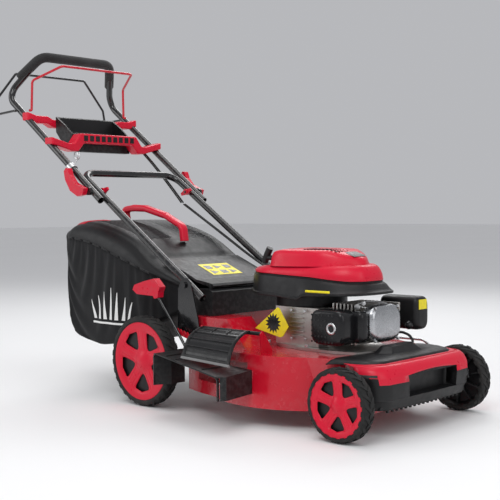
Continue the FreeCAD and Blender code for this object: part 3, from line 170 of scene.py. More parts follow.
def plastic(name, colour, lighter, rough, grain=900.0, depth=0.12, dust=0.015):
    n = Nodes(name)
    base = n.mix(n.range(n.noise(9.0, 5.0), 0.3, 0.72), colour, lighter)
    base = n.mix(n.range(n.noise(22.0, 7.0), 0.55, 0.8, 0.0, dust), base, (0.22, 0.2, 0.18))
    base = n.mix(n.maths("MULTIPLY", edge_wear(n), 0.12), base, (0.15, 0.15, 0.15))
    n.set(Base_Color=base, Roughness=n.range(n.noise(60.0, 5.0), 0.3, 0.7, rough - 0.06, rough + 0.08),
          Normal=n.bump(n.noise(grain, 2.0), depth, 0.0003), Specular_IOR_Level=0.32)
    return n.material


def metal(name, colour, darker, rough, scale=120.0, depth=0.1):
    n = Nodes(name)
    base = n.mix(n.range(n.noise(14.0, 6.0), 0.3, 0.75), colour, darker)
    n.set(Base_Color=base, Metallic=1.0,
          Roughness=n.range(n.noise(scale, 5.0, 0.6), 0.3, 0.7, rough - 0.08, rough + 0.12),
          Normal=n.bump(n.noise(scale * 2, 3.0, 0.5), depth, 0.0004))
    return n.material


def rubber(name, colour, lighter, rough=0.75):
    n = Nodes(name)
    dusty = n.range(n.noise(16.0, 8.0, 0.65), 0.42, 0.75)
    base = n.mix(dusty, colour, lighter)
    fine = n.noise(600.0, 3.0)
    n.set(Base_Color=base, Roughness=n.range(n.noise(40.0), 0.3, 0.7, rough - 0.08, rough + 0.08),
          Normal=n.bump(fine, 0.2, 0.0004), Specular_IOR_Level=0.35)
    return n.material


def foam(name):
    n = Nodes(name)
    cells = n.node("ShaderNodeTexVoronoi")
    cells.inputs["Scale"].default_value = 620.0
    n.link(n.coords, cells.inputs["Vector"])
    base = n.mix(n.range(n.noise(12.0, 6.0), 0.3, 0.75), (0.014, 0.014, 0.014), (0.035, 0.035, 0.036))
    pores = n.bump(cells.outputs["Distance"], 0.5, 0.0008)
    n.set(Base_Color=base, Roughness=0.86, Normal=n.bump(n.noise(90.0, 4.0), 0.15, 0.001, pores),
          Specular_IOR_Level=0.3, Sheen_Weight=0.15, Sheen_Roughness=0.5)
    return n.material


def woven(name, colour, lighter, size=0.0022):
    """Polyester mesh: crossed threads read from object coordinates, so it needs no unwrapping."""
    n = Nodes(name)
    across = n.node("ShaderNodeTexWave", wave_type="BANDS", bands_direction="DIAGONAL")
    across.inputs["Scale"].default_value = 1.0 / (size * 20)
    n.link(n.stretched((6.0, 6.0, -6.0)), across.inputs["Vector"])
    along = n.node("ShaderNodeTexWave", wave_type="BANDS", bands_direction="Z")
    along.inputs["Scale"].default_value = 1.0 / (size * 20)
    n.link(n.stretched((6.0, 6.0, 6.0)), along.inputs["Vector"])
    weave = n.maths("MULTIPLY", across.outputs["Fac"], along.outputs["Fac"])
    base = n.mix(n.range(n.noise(7.0, 6.0), 0.3, 0.7), colour, lighter)
    base = n.mix(n.maths("MULTIPLY", weave, 0.3), base, (0.03, 0.03, 0.032))
    fold = n.bump(n.noise(30.0, 5.0, 0.6, (1.0, 1.0, 1.6)), 0.3, 0.003)
    n.set(Base_Color=base, Roughness=0.82, Normal=n.bump(weave, 0.45, 0.0006, fold),
          Sheen_Weight=0.12, Sheen_Roughness=0.4, Specular_IOR_Level=0.3)
    return n.material


MATERIALS = {
    "red_paint": enamel("red_enamel", (0.56, 0.004, 0.02), (0.52, 0.0035, 0.018), 0.2, 0.012),
    "black_paint": enamel("black_enamel", (0.008, 0.008, 0.009), (0.004, 0.004, 0.005), 0.16, 0.04),
    "red_plastic": plastic("red_moulding", (0.62, 0.004, 0.028), (0.66, 0.005, 0.032), 0.32, 700.0, 0.04,
                           0.0),
    "black_plastic": plastic("black_moulding", (0.006, 0.006, 0.0065), (0.01, 0.01, 0.011), 0.42),
    "black_gloss": plastic("black_gloss_moulding", (0.006, 0.006, 0.007), (0.011, 0.011, 0.012), 0.2,
                           500.0, 0.04),
    "tyre_rubber": rubber("tyre_rubber", (0.012, 0.012, 0.012), (0.035, 0.033, 0.031)),
    "foam": foam("grip_foam"),
    "mesh_fabric": woven("bag_mesh", (0.005, 0.005, 0.006), (0.009, 0.009, 0.010)),
    "cast_alloy": metal("cast_alloy", (0.62, 0.6, 0.57), (0.42, 0.4, 0.38), 0.42, depth=0.25, scale=220.0),
    "pressed_steel": metal("zinc_steel", (0.66, 0.67, 0.68), (0.5, 0.5, 0.5), 0.3),
    "bright_cover": metal("bright_steel", (0.5, 0.51, 0.53), (0.36, 0.37, 0.38), 0.26, depth=0.05),
    "cable_skin": rubber("cable_sheath", (0.008, 0.008, 0.008), (0.018, 0.018, 0.018), 0.45),
    "yellow_tag": plastic("yellow_card", (0.86, 0.72, 0.01), (0.92, 0.8, 0.03), 0.4, 500.0, 0.03, 0.05),
    "white_print": plastic("white_print", (0.75, 0.75, 0.74), (0.82, 0.82, 0.81), 0.5, 500.0, 0.03, 0.05),
    # grey for the panel on the engine cover's front, and as a painted highlight on the discharge door's
    # lower lip
    "grey_print_and_painted_highlight": plastic("grey_print_and_painted_highlight", (0.2, 0.2, 0.2), (0.26, 0.26, 0.26), 0.5, 500.0, 0.03, 0.05),
}

for row in frame["record"]["subparts"]:
    thing = NODES[row["node"]]
    thing.data.materials.clear()
    thing.data.materials.append(MATERIALS[row["material_slot"]])


# ---------------------------------------------------------------- stage, light and camera

def floor():
    bpy.ops.mesh.primitive_plane_add(size=60, location=(0, 0, 0))
    plane = bpy.context.object
    plane.name = "floor"
    n = Nodes("pale_floor")
    n.set(Base_Color=n.mix(n.noise(0.8), (0.86, 0.86, 0.86), (0.9, 0.9, 0.9)), Roughness=0.7)
    plane.data.materials.append(n.material)


def area_light(name, spot, aim, size, power):
    data = bpy.data.lights.new(name, "AREA")
    data.shape = "RECTANGLE"
    data.size, data.size_y = size
    data.energy = power
    lamp = bpy.data.objects.new(name, data)
    bpy.context.scene.collection.objects.link(lamp)
    lamp.location = spot
    lamp.rotation_euler = (Vector(aim) - Vector(spot)).to_track_quat("-Z", "Y").to_euler()


def camera():
    turn, pitch, roll = math.radians(43.368), math.radians(2.218), math.radians(-0.527)
    forward = Vector((-math.sin(turn) * math.cos(pitch), math.cos(turn) * math.cos(pitch),
                      -math.sin(pitch)))
    right = Vector((math.cos(turn), math.sin(turn), 0))
    up = right.cross(forward)
    across = right * math.cos(roll) + up * math.sin(roll)
    above = -right * math.sin(roll) + up * math.cos(roll)
    data = bpy.data.cameras.new("camera")
    data.sensor_width = 36
    data.lens = 71.79
    data.clip_end = 100
    rig = bpy.data.objects.new("camera", data)
    bpy.context.scene.collection.objects.link(rig)
    place = Matrix((across, above, -forward)).transposed().to_4x4()
    place.translation = at(2135.57, -2087.01, 543.83)
    rig.matrix_world = place
    bpy.context.scene.camera = rig


floor()
area_light("key", (1.6, -2.6, 3.2), (0, 0, 0.4), (2.2, 1.6), 58)
area_light("fill", (3.4, -0.4, 1.6), (0.2, 0, 0.4), (1.6, 2.4), 18)
area_light("left_fill", (-2.8, -2.6, 1.8), (-0.1, 0, 0.5), (1.4, 2.2), 20)
area_light("rim", (-1.4, 2.6, 2.8), (0, 0, 0.5), (3.0, 1.2), 46)
area_light("top", (0, 0, 3.6), (0, 0, 0), (2.0, 2.0), 27)
world = bpy.data.worlds.new("studio")
world.use_nodes = True
world.node_tree.nodes["Background"].inputs["Color"].default_value = (0.95, 0.96, 1.0, 1)
world.node_tree.nodes["Background"].inputs["Strength"].default_value = 0.5
bpy.context.scene.world = world
bpy.context.scene.view_settings.view_transform = "Standard"
camera()

# ---------------------------------------------------------------- shape helpers

def finish_piece(piece, slot, body, nodes, look, sharp):
    bpy.context.scene.collection.objects.link(piece)
    piece.data.materials.clear()
    piece.data.materials.append(MATERIALS[look or slot])
    work = bmesh.new()
    work.from_mesh(piece.data)
    bmesh.ops.remove_doubles(work, verts=work.verts, dist=0.00001)
    bmesh.ops.recalc_face_normals(work, faces=work.faces)
    work.to_mesh(piece.data)
    work.free()
    piece.data.shade_smooth()
    piece.data.set_sharp_from_angle(angle=math.radians(sharp))
    if body:
        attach(piece, body)
    if nodes:
        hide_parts(*nodes)
    return piece


class Shape:
    """Collects points and faces in millimetres."""

    def __init__(self):
        self.points = []
        self.faces = []

    def grid(self, rows, close_across=False, close_along=False, skip=None):
        start = len(self.points)
        width = len(rows[0])
        for row in rows:
            self.points += [tuple(p) for p in row]
        for i in range(len(rows) - (0 if close_along else 1)):
            for j in range(width - (0 if close_across else 1)):
                if skip and skip(i, j):
                    continue
                i2, j2 = (i + 1) % len(rows), (j + 1) % width
                self.faces.append((start + i * width + j, start + i2 * width + j,
                                   start + i2 * width + j2, start + i * width + j2))
        return start

    def loft(self, rows):
        start = self.grid(rows, close_across=True)
        width = len(rows[0])
        for first in (start, start + (len(rows) - 1) * width):
            self.faces.append(tuple(range(first, first + width)))

    def block(self, corners):
        """Eight corners: four of one end, then the matching four of the other."""
        self.loft([corners[:4], corners[4:]])

    def box(self, xs, ys, zs):
        self.block([(xs[0], ys[0], zs[0]), (xs[0], ys[1], zs[0]), (xs[0], ys[1], zs[1]),
                    (xs[0], ys[0], zs[1]),
                    (xs[1], ys[0], zs[0]), (xs[1], ys[1], zs[0]), (xs[1], ys[1], zs[1]),
                    (xs[1], ys[0], zs[1])])

    def disc(self, centre, axis, radius, length, steps=32, round_edge=0.0):
        axis = Vector(axis).normalized()
        side = axis.orthogonal().normalized()
        other = axis.cross(side)
        rows = []
        cuts = [(0.0, radius)]
        if round_edge:
            cuts = [(0.0, radius), (length - round_edge, radius),
                    (length - round_edge * 0.3, radius - round_edge * 0.3), (length, radius - round_edge)]
        else:
            cuts.append((length, radius))
        for along, size in cuts:
            row = []
            for k in range(steps):
                a = 2 * math.pi * k / steps
                row.append(tuple(Vector(centre) + axis * along + side * size * math.cos(a)
                                 + other * size * math.sin(a)))
            rows.append(row)
        self.loft(rows)

    def piece(self, name, slot, body, nodes=(), look=None, sharp=32.0):
        """Makes the object, in metres, and finishes it."""
        mesh = bpy.data.meshes.new(name)
        mesh.from_pydata([at(*p) for p in self.points], [], self.faces)
        mesh.update()
        return finish_piece(bpy.data.objects.new(name, mesh), slot, body, nodes, look, sharp)


def bevelled(piece, width, segments=2, angle=30.0):
    made = piece.modifiers.new("bevel", "BEVEL")
    made.width = width * MM
    made.segments = segments
    made.limit_method = "ANGLE"
    made.angle_limit = math.radians(angle)
    made.harden_normals = False
    return piece


def walled(piece, thickness, offset=-1.0):
    """Gives a surface this thickness, in millimetres."""
    made = piece.modifiers.new("wall", "SOLIDIFY")
    made.thickness = thickness * MM
    made.offset = offset
    return piece


def smoothed(piece, levels=2):
    made = piece.modifiers.new("smooth", "SUBSURF")
    made.levels = levels
    made.render_levels = levels
    return piece


def rounded_path(points, bend, steps=6):
    """The points with an arc of up to this radius at each inner corner."""
    out = [Vector(points[0])]
    for before, corner, after in zip(points, points[1:], points[2:]):
        corner = Vector(corner)
        back, ahead = Vector(before) - corner, Vector(after) - corner
        turn = back.angle(ahead)
        reach = min(bend / math.tan(turn / 2), back.length * 0.48, ahead.length * 0.48)
        a, b = corner + back.normalized() * reach, corner + ahead.normalized() * reach
        for k in range(steps + 1):
            t = k / steps
            out.append(a * (1 - t) ** 2 + corner * 2 * t * (1 - t) + b * t * t)
    return out + [Vector(points[-1])]


def tube(shape, path, radius, steps=16):
    """Sweeps a circle along the path; radius may be a function of share, angle and distance."""
    path = [Vector(p) for p in path]
    rows = []
    side = None
    total = sum((b - a).length for a, b in zip(path, path[1:]))
    gone = 0.0
    for i, p in enumerate(path):
        if i:
            gone += (p - path[i - 1]).length
        ahead = (path[min(i + 1, len(path) - 1)] - path[max(i - 1, 0)]).normalized()
        side = ahead.orthogonal() if side is None else side - ahead * side.dot(ahead)
        side.normalize()
        other = ahead.cross(side)
        row = []
        for k in range(steps):
            a = 2 * math.pi * k / steps
            size = radius(gone / total, a, gone) if callable(radius) else radius
            row.append(tuple(p + side * size * math.cos(a) + other * size * math.sin(a)))
        rows.append(row)
    shape.loft(rows)


def lerp(a, b, t):
    return a + (b - a) * t


def table_at(table, x):
    """Straight-line reading of a table whose rows start with x; returns the rest of the row."""
    if x <= table[0][0]:
        return table[0][1:]
    for a, b in zip(table, table[1:]):
        if x <= b[0]:
            t = (x - a[0]) / (b[0] - a[0])
            return tuple(lerp(p, q, t) for p, q in zip(a[1:], b[1:]))
    return table[-1][1:]


def smooth_table(table, x):
    """As table_at, with an eased curve through the rows."""
    rows = [table[0]] + list(table) + [table[-1]]
    for i in range(1, len(rows) - 2):
        a, b = rows[i], rows[i + 1]
        if x <= b[0] or i == len(rows) - 3:
            t = min(max((x - a[0]) / (b[0] - a[0]), 0.0), 1.0)
            out = []
            for k in range(1, len(a)):
                before = (b[k] - rows[i - 1][k]) / max(b[0] - rows[i - 1][0], 1e-6) * (b[0] - a[0])
                after = (rows[i + 2][k] - a[k]) / max(rows[i + 2][0] - a[0], 1e-6) * (b[0] - a[0])
                out.append((2 * t ** 3 - 3 * t * t + 1) * a[k] + (t ** 3 - 2 * t * t + t) * before
                           + (3 * t * t - 2 * t ** 3) * b[k] + (t ** 3 - t * t) * after)
            return tuple(out)
    return table[-1][1:]


# ---------------------------------------------------------------- wheels

WHEEL_FACE = 281.0
TYRE_WIDTH = 43.0
RIB_HALF = 1.6


def wheel(name, centre_x, radius, side, body):
    def spot(out, r, angle):
        return (centre_x + r * math.cos(angle), side * (WHEEL_FACE - out), radius + r * math.sin(angle))

    def ring(shape, profile, steps=120):
        rows = []
        for k in range(steps):
            a = 2 * math.pi * k / steps
            rows.append([spot(out, r, a) for out, r in profile])
        shape.grid(rows, close_across=True, close_along=True)

    tyre = Shape()
    bead = 0.872 * radius
    tread = radius - 3.2
    ring(tyre, [
        (2.0, bead), (0.8, bead + 2), (0.6, radius * 0.91), (1.4, radius * 0.94), (4.0, tread - 1.5),
        (8.0, tread),
        (21.5, tread + 0.4), (35.0, tread), (39.0, tread - 1.5), (41.6, radius * 0.94),
        (42.4, radius * 0.91),
        (42.2, bead + 2), (41.0, bead), (38.0, bead - 3), (25.0, bead - 5), (16.0, bead - 5),
        (6.0, bead - 3),
    ])
    count = int(round(radius * 0.235))
    step = 2 * math.pi / count
    for k in range(count):
        for half in (0, 1):
            middle = step * (k + 0.5 * half)
            rows = []
            for out, drop, lean in ((1.0, 9.5, 0.62), (3.2, 3.0, 0.52), (8.0, 0.5, 0.34),
                                    (20.6, 0.0, -0.12),
                                    (23.4, 0.0, -0.22)):
                place = out if half == 0 else TYRE_WIDTH - out
                wide = step * (0.27 if out < 10 else 0.22)
                centre = middle + lean * step
                top, low = radius - drop, radius - drop - 5.0
                rows.append([spot(place, low, centre - wide), spot(place, top, centre - wide * 0.84),
                             spot(place, top, centre + wide * 0.84), spot(place, low, centre + wide)])
            tyre.loft(rows)
    tyre.piece(name + "_tyre", "tyre_rubber", body, (name,), sharp=28.0)

    disc = Shape()
    ring(disc, [
        (3.0, bead), (6.0, bead - 5), (15.0, bead - 9), (15.5, 30.0), (12.0, 21.0), (9.0, 8.0), (9.0, 6.3),
        (38.0, 6.3), (40.0, 9.0), (40.0, 19.0), (24.0, 23.0), (22.0, bead - 12), (30.0, bead - 7),
        (38.0, bead),
    ], 96)
    for k in range(10):
        a = 2 * math.pi * (k + 0.5) / 10
        disc.block([spot(out, r, a + lean * RIB_HALF / r) for r, back in ((20.0, 37.0), (bead - 6, 30.0))
                    for out, lean in ((21.0, -1), (21.0, 1), (back, 1), (back, -1))])
    disc.piece(name + "_disc", "tyre_rubber", body, look="black_plastic")
    trim(name, spot, radius, bead, body)


def trim(name, spot, radius, bead, body):
    """Five fat crowned spokes, an outer band and a domed hub, as one pressed shell."""
    spokes = 5
    inner, outer = 0.29 * radius, 0.69 * radius
    edge = bead - 0.5
    radii = [0.0, 4.0, 9.0, 0.10 * radius, 0.13 * radius, 0.17 * radius, 0.21 * radius, inner]
    gap_rows = 14
    radii += [inner + (outer - inner) * (k + 1) / gap_rows for k in range(gap_rows)]
    radii += [outer + (edge - outer) * t for t in (0.12, 0.3, 0.55, 0.8, 0.93, 1.0)]
    across = 18
    sector = 2 * math.pi / spokes

    def gap_half(r):
        t = (r - inner) / (outer - inner)
        if t <= 0 or t >= 1:
            return 0.0
        widest = sector / 2 - math.asin(min(0.135 * radius / r, 0.95))
        return max(widest, 0.0) * (1 - abs(2 * t - 1) ** 7) ** 0.4

    def depth(r, u):
        share = r / radius
        if share < 0.1:
            return 3.2 + 1.8 * (share / 0.1) ** 2
        if share < 0.24:
            return 5.0 + 6.5 * ((share - 0.1) / 0.14) ** 1.4
        base = 11.5 - 5.0 * max(0.0, (share - 0.24) / 0.4)
        if r > outer:
            t = (r - outer) / (edge - outer)
            base = lerp(base, 2.6, min(t * 1.4, 1.0)) + (2.5 if t >= 1 else 0.0)
            return base
        crown = 2.2 * (1 - min(abs(u), 1.0) ** 3)
        groove = 1.1 * math.exp(-((abs(u) - 0.5) / 0.12) ** 2)
        return base + 2.0 - crown + groove

    rows, marks = [], []
    for r in radii:
        row, mark = [], []
        for s in range(spokes):
            spoke_half = sector / 2 - gap_half(r)
            for k in range(across * 2):
                u = (k - across) / across
                if abs(u) <= 0.7:
                    angle, v = u / 0.7 * spoke_half, u / 0.7
                else:
                    t = (abs(u) - 0.7) / 0.3
                    angle = math.copysign(spoke_half + t * (sector / 2 - spoke_half), u)
                    v = math.copysign(1.0 + t, u)
                row.append(spot(depth(r, v), r, math.pi / 2 + s * sector + angle))
                mark.append(abs(u))
        rows.append(row)
        marks.append(mark)
    first_gap = radii.index(inner)

    def skip(i, j):
        here = marks[i][j], marks[i][(j + 1) % len(marks[i])]
        return first_gap <= i < first_gap + gap_rows and min(here) > 0.69

    shape = Shape()
    shape.grid(rows, close_across=True, skip=skip)
    walled(shape.piece(name + "_cap", "red_plastic", body, (name + "_trim",), sharp=40.0), 3.4)


for label, centre_x, radius in (("rear", 0.0, 127.0), ("front", 695.8, 89.0)):
    for side_name, side in (("right", -1), ("left", 1)):
        wheel_name = label + "_wheel_" + side_name
        wheel(wheel_name, centre_x, radius, side, wheel_name + "_body")


# ---------------------------------------------------------------- grass bag

BAG_HALF = 203.0
CLOTH_REACH = 0.011
CLOTH_FRAMES = 24
# x, floor, rim, width share
BAG_TABLE = [
    (-452.0, 322.0, 472.0, 0.955), (-440.0, 210.0, 471.0, 0.965), (-412.0, 158.0, 470.0, 0.975),
    (-361.0, 148.0, 462.0, 0.99), (-288.0, 137.0, 449.0, 0.995), (-200.0, 148.0, 422.0, 0.99),
    (-120.0, 182.0, 396.0, 0.965), (-60.0, 211.0, 376.0, 0.94), (20.0, 243.0, 348.0, 0.86),
    (92.0, 266.0, 318.0, 0.77),
]


def bag_section(x):
    floor_z, rim, share = table_at(BAG_TABLE, x)
    half = BAG_HALF * share
    tall = rim - floor_z
    corner = min(26.0, tall * 0.35)
    outline = [(-half, rim)]
    steps = 5
    outline += [(-half, rim - (tall - corner) * k / 7) for k in range(1, 8)]
    for k in range(1, steps + 1):
        a = math.pi / 2 * k / steps
        outline.append((-half + corner - corner * math.cos(a), floor_z + corner - corner * math.sin(a)))
    outline += [(-half + corner + (half - corner) * k / 6, floor_z) for k in range(1, 7)]
    return outline + [(-y, z) for y, z in reversed(outline[:-1])]


def fabric_bag():
    xs = [-452, -447, -440, -428, -414, -400, -380, -361, -335, -310, -288, -260, -230, -200, -170, -140,
          -110, -80,
          -50, -20, 10, 40, 66, 92]
    rows = []
    for x in xs:
        row = []
        floor_z, rim, share = table_at(BAG_TABLE, x)
        for y, z in bag_section(x):
            drop = (rim - z) / max(rim - floor_z, 1.0)
            slump = math.sin(math.pi * min(max(drop, 0.0), 1.0))
            # slack cloth: pulled in between the rim and the floor frame, in soft diagonal folds
            fold = noise.noise(Vector((x * 0.011, z * 0.016, y * 0.004))) * 5.0
            fold += noise.noise(Vector(((x + z) * 0.03, (x - z) * 0.012, 3.0))) * 3.0
            pull = (4.0 + fold) * slump
            if abs(y) > BAG_HALF * share - 2:
                y -= math.copysign(max(pull, -1.0), y)
            elif z < floor_z + 3:
                z -= 3.0 * math.cos(y / BAG_HALF * 1.4) - 3.0
            row.append((x, y, z))
        rows.append(row)
    shape = Shape()
    shape.grid(rows)
    # rear panel, in columns between the two side edges, bowed out by the cut grass
    back = rows[0]
    count = len(back)
    half = count // 2
    width = 14
    panel = []
    for k in range(half + 1):
        left, right = back[k], back[count - 1 - k]
        line = []
        for j in range(width + 1):
            t = j / width
            y, z = lerp(left[1], right[1], t), lerp(left[2], right[2], t)
            bow = 3.0 * (1.0 - abs(2 * t - 1) ** 3)
            line.append((left[0] + noise.noise(Vector((y * 0.02, z * 0.02, 7.0))) * bow, y, z))
        panel.append(line)
    shape.grid(panel)
    piece = shape.piece("bag_cloth", "mesh_fabric", "bag", ("bag_fabric",), sharp=60.0)
    settle_cloth(piece)
    return smoothed(walled(piece, 1.6), 1)


def settle_cloth(piece):
    """Lets the sewn shell sag between its wire frame, then keeps the settled shape."""
    bpy.context.view_layer.update()
    mesh = piece.data
    work = bmesh.new()
    work.from_mesh(mesh)
    bmesh.ops.subdivide_edges(work, edges=work.edges[:], cuts=2, use_grid_fill=True, smooth=0.0)
    work.to_mesh(mesh)
    work.free()
    rest = [v.co.copy() for v in mesh.vertices]
    held = piece.vertex_groups.new(name="held")
    for v in mesh.vertices:
        x, y, z = v.co.x / MM - SHIFT_X, v.co.y / MM - SHIFT_Y, v.co.z / MM
        floor_z, rim, share = table_at(BAG_TABLE, x)
        near_rim = z > rim - 12
        near_floor = z < floor_z + 14
        back_edge = x < -444 and abs(y) > BAG_HALF * share - 12
        mouth = x > 84
        if near_rim or near_floor or back_edge or mouth:
            held.add([v.index], 1.0, "REPLACE")
    sim = piece.modifiers.new("sim", "CLOTH")
    sim.settings.quality = 6
    sim.settings.mass = 0.25
    sim.settings.tension_stiffness = 18
    sim.settings.compression_stiffness = 18
    sim.settings.bending_stiffness = 0.6
    sim.settings.vertex_group_mass = "held"
    sim.settings.shrink_min = -0.045
    sim.collision_settings.use_collision = False
    sim.collision_settings.use_self_collision = False
    sim.point_cache.frame_start = 1
    sim.point_cache.frame_end = CLOTH_FRAMES
    scene = bpy.context.scene
    for step in range(1, CLOTH_FRAMES + 1):
        scene.frame_set(step)
    shaped = piece.evaluated_get(bpy.context.evaluated_depsgraph_get()).to_mesh()
    settled = [v.co.copy() for v in shaped.vertices]
    piece.evaluated_get(bpy.context.evaluated_depsgraph_get()).to_mesh_clear()
    piece.modifiers.remove(sim)
    scene.frame_set(1)
    for v, was, now in zip(mesh.vertices, rest, settled):
        move = now - was
        if move.length > CLOTH_REACH:
            move = move.normalized() * CLOTH_REACH
        v.co = was + move
    mesh.update()


bag_cloth = fabric_bag()

# ---------------------------------------------------------------- bag lid and handle

LID_TABLE = [
    (-452.0, 471.0, 499.0, 0.94), (-405.0, 471.0, 518.0, 1.0), (-300.0, 453.0, 512.0, 1.0),
    (-150.0, 407.0, 469.0, 1.0), (-50.0, 373.0, 404.0, 0.97), (90.0, 319.0, 337.0, 0.76),
]


def ease(low, high, value):
    t = min(max((value - low) / (high - low), 0.0), 1.0)
    return t * t * (3 - 2 * t)


def lid_height(x, y):
    rim, crown, share = smooth_table(LID_TABLE, x)
    half = (BAG_HALF + 2) * share
    s = min(abs(y) / half, 1.0)
    z = rim + (crown - rim) * (1 - s ** 7) ** 0.45
    panel = ease(-432, -418, x) * (1 - ease(-78, -62, x)) * (1 - ease(162, 174, abs(y)))
    z += panel * 2.6 - 2.0
    vent = ease(-366, -360, x) * (1 - ease(-142, -136, x)) * ease(22, 28,
                                                                  abs(y)) * (1 - ease(138, 146, abs(y)))
    z -= vent * (1.4 + 1.4 * math.sin((x * 0.9 + abs(y) * 0.45) * 0.62))
    return z


def bag_lid():
    rows = []
    for i in range(261):
        x = lerp(-452.0, 90.0, i / 260)
        rim, _, share = smooth_table(LID_TABLE, x)
        half = (BAG_HALF + 2) * share
        row = [(x, -half + 3, rim - 3.0), (x, -half, rim - 2.0), (x, -half, rim + 2.0)]
        for j in range(141):
            t = 2 * j / 140 - 1
            y = half * math.copysign(1 - (1 - abs(t)) ** 1.25, t)
            row.append((x, y, max(lid_height(x, y), rim + 2.0)))
        row += [(x, half, rim + 2.0), (x, half, rim - 2.0), (x, half - 3, rim - 3.0)]
        rows.append(row)
    shape = Shape()
    shape.grid(rows)
    for end in (rows[0], rows[-1]):
        start = len(shape.points)
        shape.points += end
        shape.faces.append(tuple(range(start, start + len(end))))
    shape.piece("lid_shell", "black_plastic", "bag", ("bag_lid",), sharp=38.0)

    insert = Shape()
    rows = []
    for i in range(13):
        t = i / 12
        row = []
        for j in range(9):
            x = lerp(-440.0, -384.0, t) + j / 8 * 46.0
            y = -178.0 + j / 8 * 86.0
            lift = 2.0 if 0 < i < 12 and 0 < j < 8 else -1.5
            row.append((x, y, lid_height(x, y) + lift))
        rows.append(row)
    insert.grid(rows)
    insert.piece("lid_window", "red_plastic", "bag", sharp=50.0)

    clips = Shape()
    for side in (-1, 1):
        for k in range(9):
            x0 = -436.0 + k * 44.0
            rows = []
            for t in (0.0, 0.08, 0.5, 0.92, 1.0):
                x = x0 + t * 34.0
                rim, _, share = smooth_table(LID_TABLE, x)
                y = side * ((BAG_HALF + 2) * share)
                out = 0.4 if t in (0.0, 1.0) else 1.6
                rows.append([(x, y, rim - 7.0), (x, y + side * out, rim - 6.0),
                             (x, y + side * out, rim - 1.0),
                             (x, y, rim)])
            clips.loft(rows)
    clips.piece("lid_clips", "black_plastic", "bag", sharp=30.0)


def handle_loop():
    path = rounded_path([(-385, 0, 516), (-394, 0, 553), (-345, 0, 558), (-290, 0, 556), (-195, 0, 533),
                         (-118, 0, 499), (-112, 0, 455)], 26.0, 7)
    total = len(path) - 1
    rows = []
    for i, p in enumerate(path):
        ahead = (path[min(i + 1, total)] - path[max(i - 1, 0)]).normalized()
        up = Vector((0, 1, 0)).cross(ahead) * -1
        share = i / total
        wide = 14.5 + 0.5 * math.sin(math.pi * share)
        tall = 8.0 + 3.0 * math.sin(math.pi * min(1.0, share * 1.3))
        row = []
        for k in range(24):
            a = 2 * math.pi * k / 24
            c, s = math.cos(a), math.sin(a)
            row.append(tuple(p + Vector((0, 1, 0)) * wide * math.copysign(abs(c) ** 0.55, c)
                             + up * tall * math.copysign(abs(s) ** 0.7, s)))
        rows.append(row)
    shape = Shape()
    shape.loft(rows)
    shape.piece("carry_handle", "red_plastic", "bag", ("bag_handle",), sharp=50.0)


bag_lid()
handle_loop()

# ---------------------------------------------------------------- engine cover and shroud

COVER_PLAN = [(190, -14), (214, -44), (262, -90), (310, -114), (400, -122), (480, -122), (550, -112),
              (600, -84),
              (630, -40)]
UPPER_PLAN = [(312, -40), (316, -72), (332, -94), (380, -99), (470, -92), (520, -72), (556, -42),
              (576, -12)]
BOTTOM_LINE = [(172, 376.5), (329, 376.5), (470, 371.5), (577, 361.5), (664, 361.5)]
SHOULDER_LINE = [(172, 385.0), (240, 392.0), (330, 399.0), (560, 403.0), (600, 401.0), (640, 380.0),
                 (664, 366.0)]
TOP_LINE = [(304, 424.0), (332, 436.0), (360, 440.5), (500, 440.0), (560, 424.0), (606, 404.0)]


def closed_curve(half_plan, count=120):
    """Smooth closed plan from the right-hand half, mirrored to the left."""
    knots = [Vector((x, y)) for x, y in half_plan] + [Vector((x, -y)) for x, y in reversed(half_plan)]
    dense = []
    n = len(knots)
    for i in range(n):
        a, b, c, d = knots[i - 1], knots[i], knots[(i + 1) % n], knots[(i + 2) % n]
        for k in range(16):
            t = k / 16
            dense.append(0.5 * ((2 * b) + (c - a) * t + (2 * a - 5 * b + 4 * c - d) * t * t
                                + (3 * b - a - 3 * c + d) * t ** 3))
    lengths = [0.0]
    for p, q in zip(dense, dense[1:] + dense[:1]):
        lengths.append(lengths[-1] + (q - p).length)
    out, j = [], 0
    for k in range(count):
        want = lengths[-1] * k / count
        while lengths[j + 1] < want:
            j += 1
        t = (want - lengths[j]) / max(lengths[j + 1] - lengths[j], 1e-9)
        out.append(dense[j].lerp(dense[(j + 1) % len(dense)], t))
    return out


def inset_curve(curve, amount):
    out = []
    n = len(curve)
    for k in range(n):
        along = (curve[(k + 1) % n] - curve[k - 1]).normalized()
        out.append(curve[k] + Vector((-along.y, along.x)) * amount)
    return out


FLARE_BACK, FLARE_FRONT = 3.0, 22.0


def flare(x):
    """How far the shroud's seam stands in from its skirt, growing towards the front."""
    return lerp(FLARE_BACK, FLARE_FRONT, min(max((x - 190.0) / 440.0, 0.0), 1.0))


def level(curve, inset, height, share=0.0):
    """One ring of the engine's cover; share is how much of the flare has been drawn in."""
    out = []
    for a, b in zip(inset_curve(curve, inset), inset_curve(curve, inset + 1.0)):
        p = a + (b - a) * flare(a.x) * share
        out.append((p.x, p.y, height(p.x)))
    return out


def line(table):
    return lambda x: table_at([(a, b) for a, b in table], x)[0]


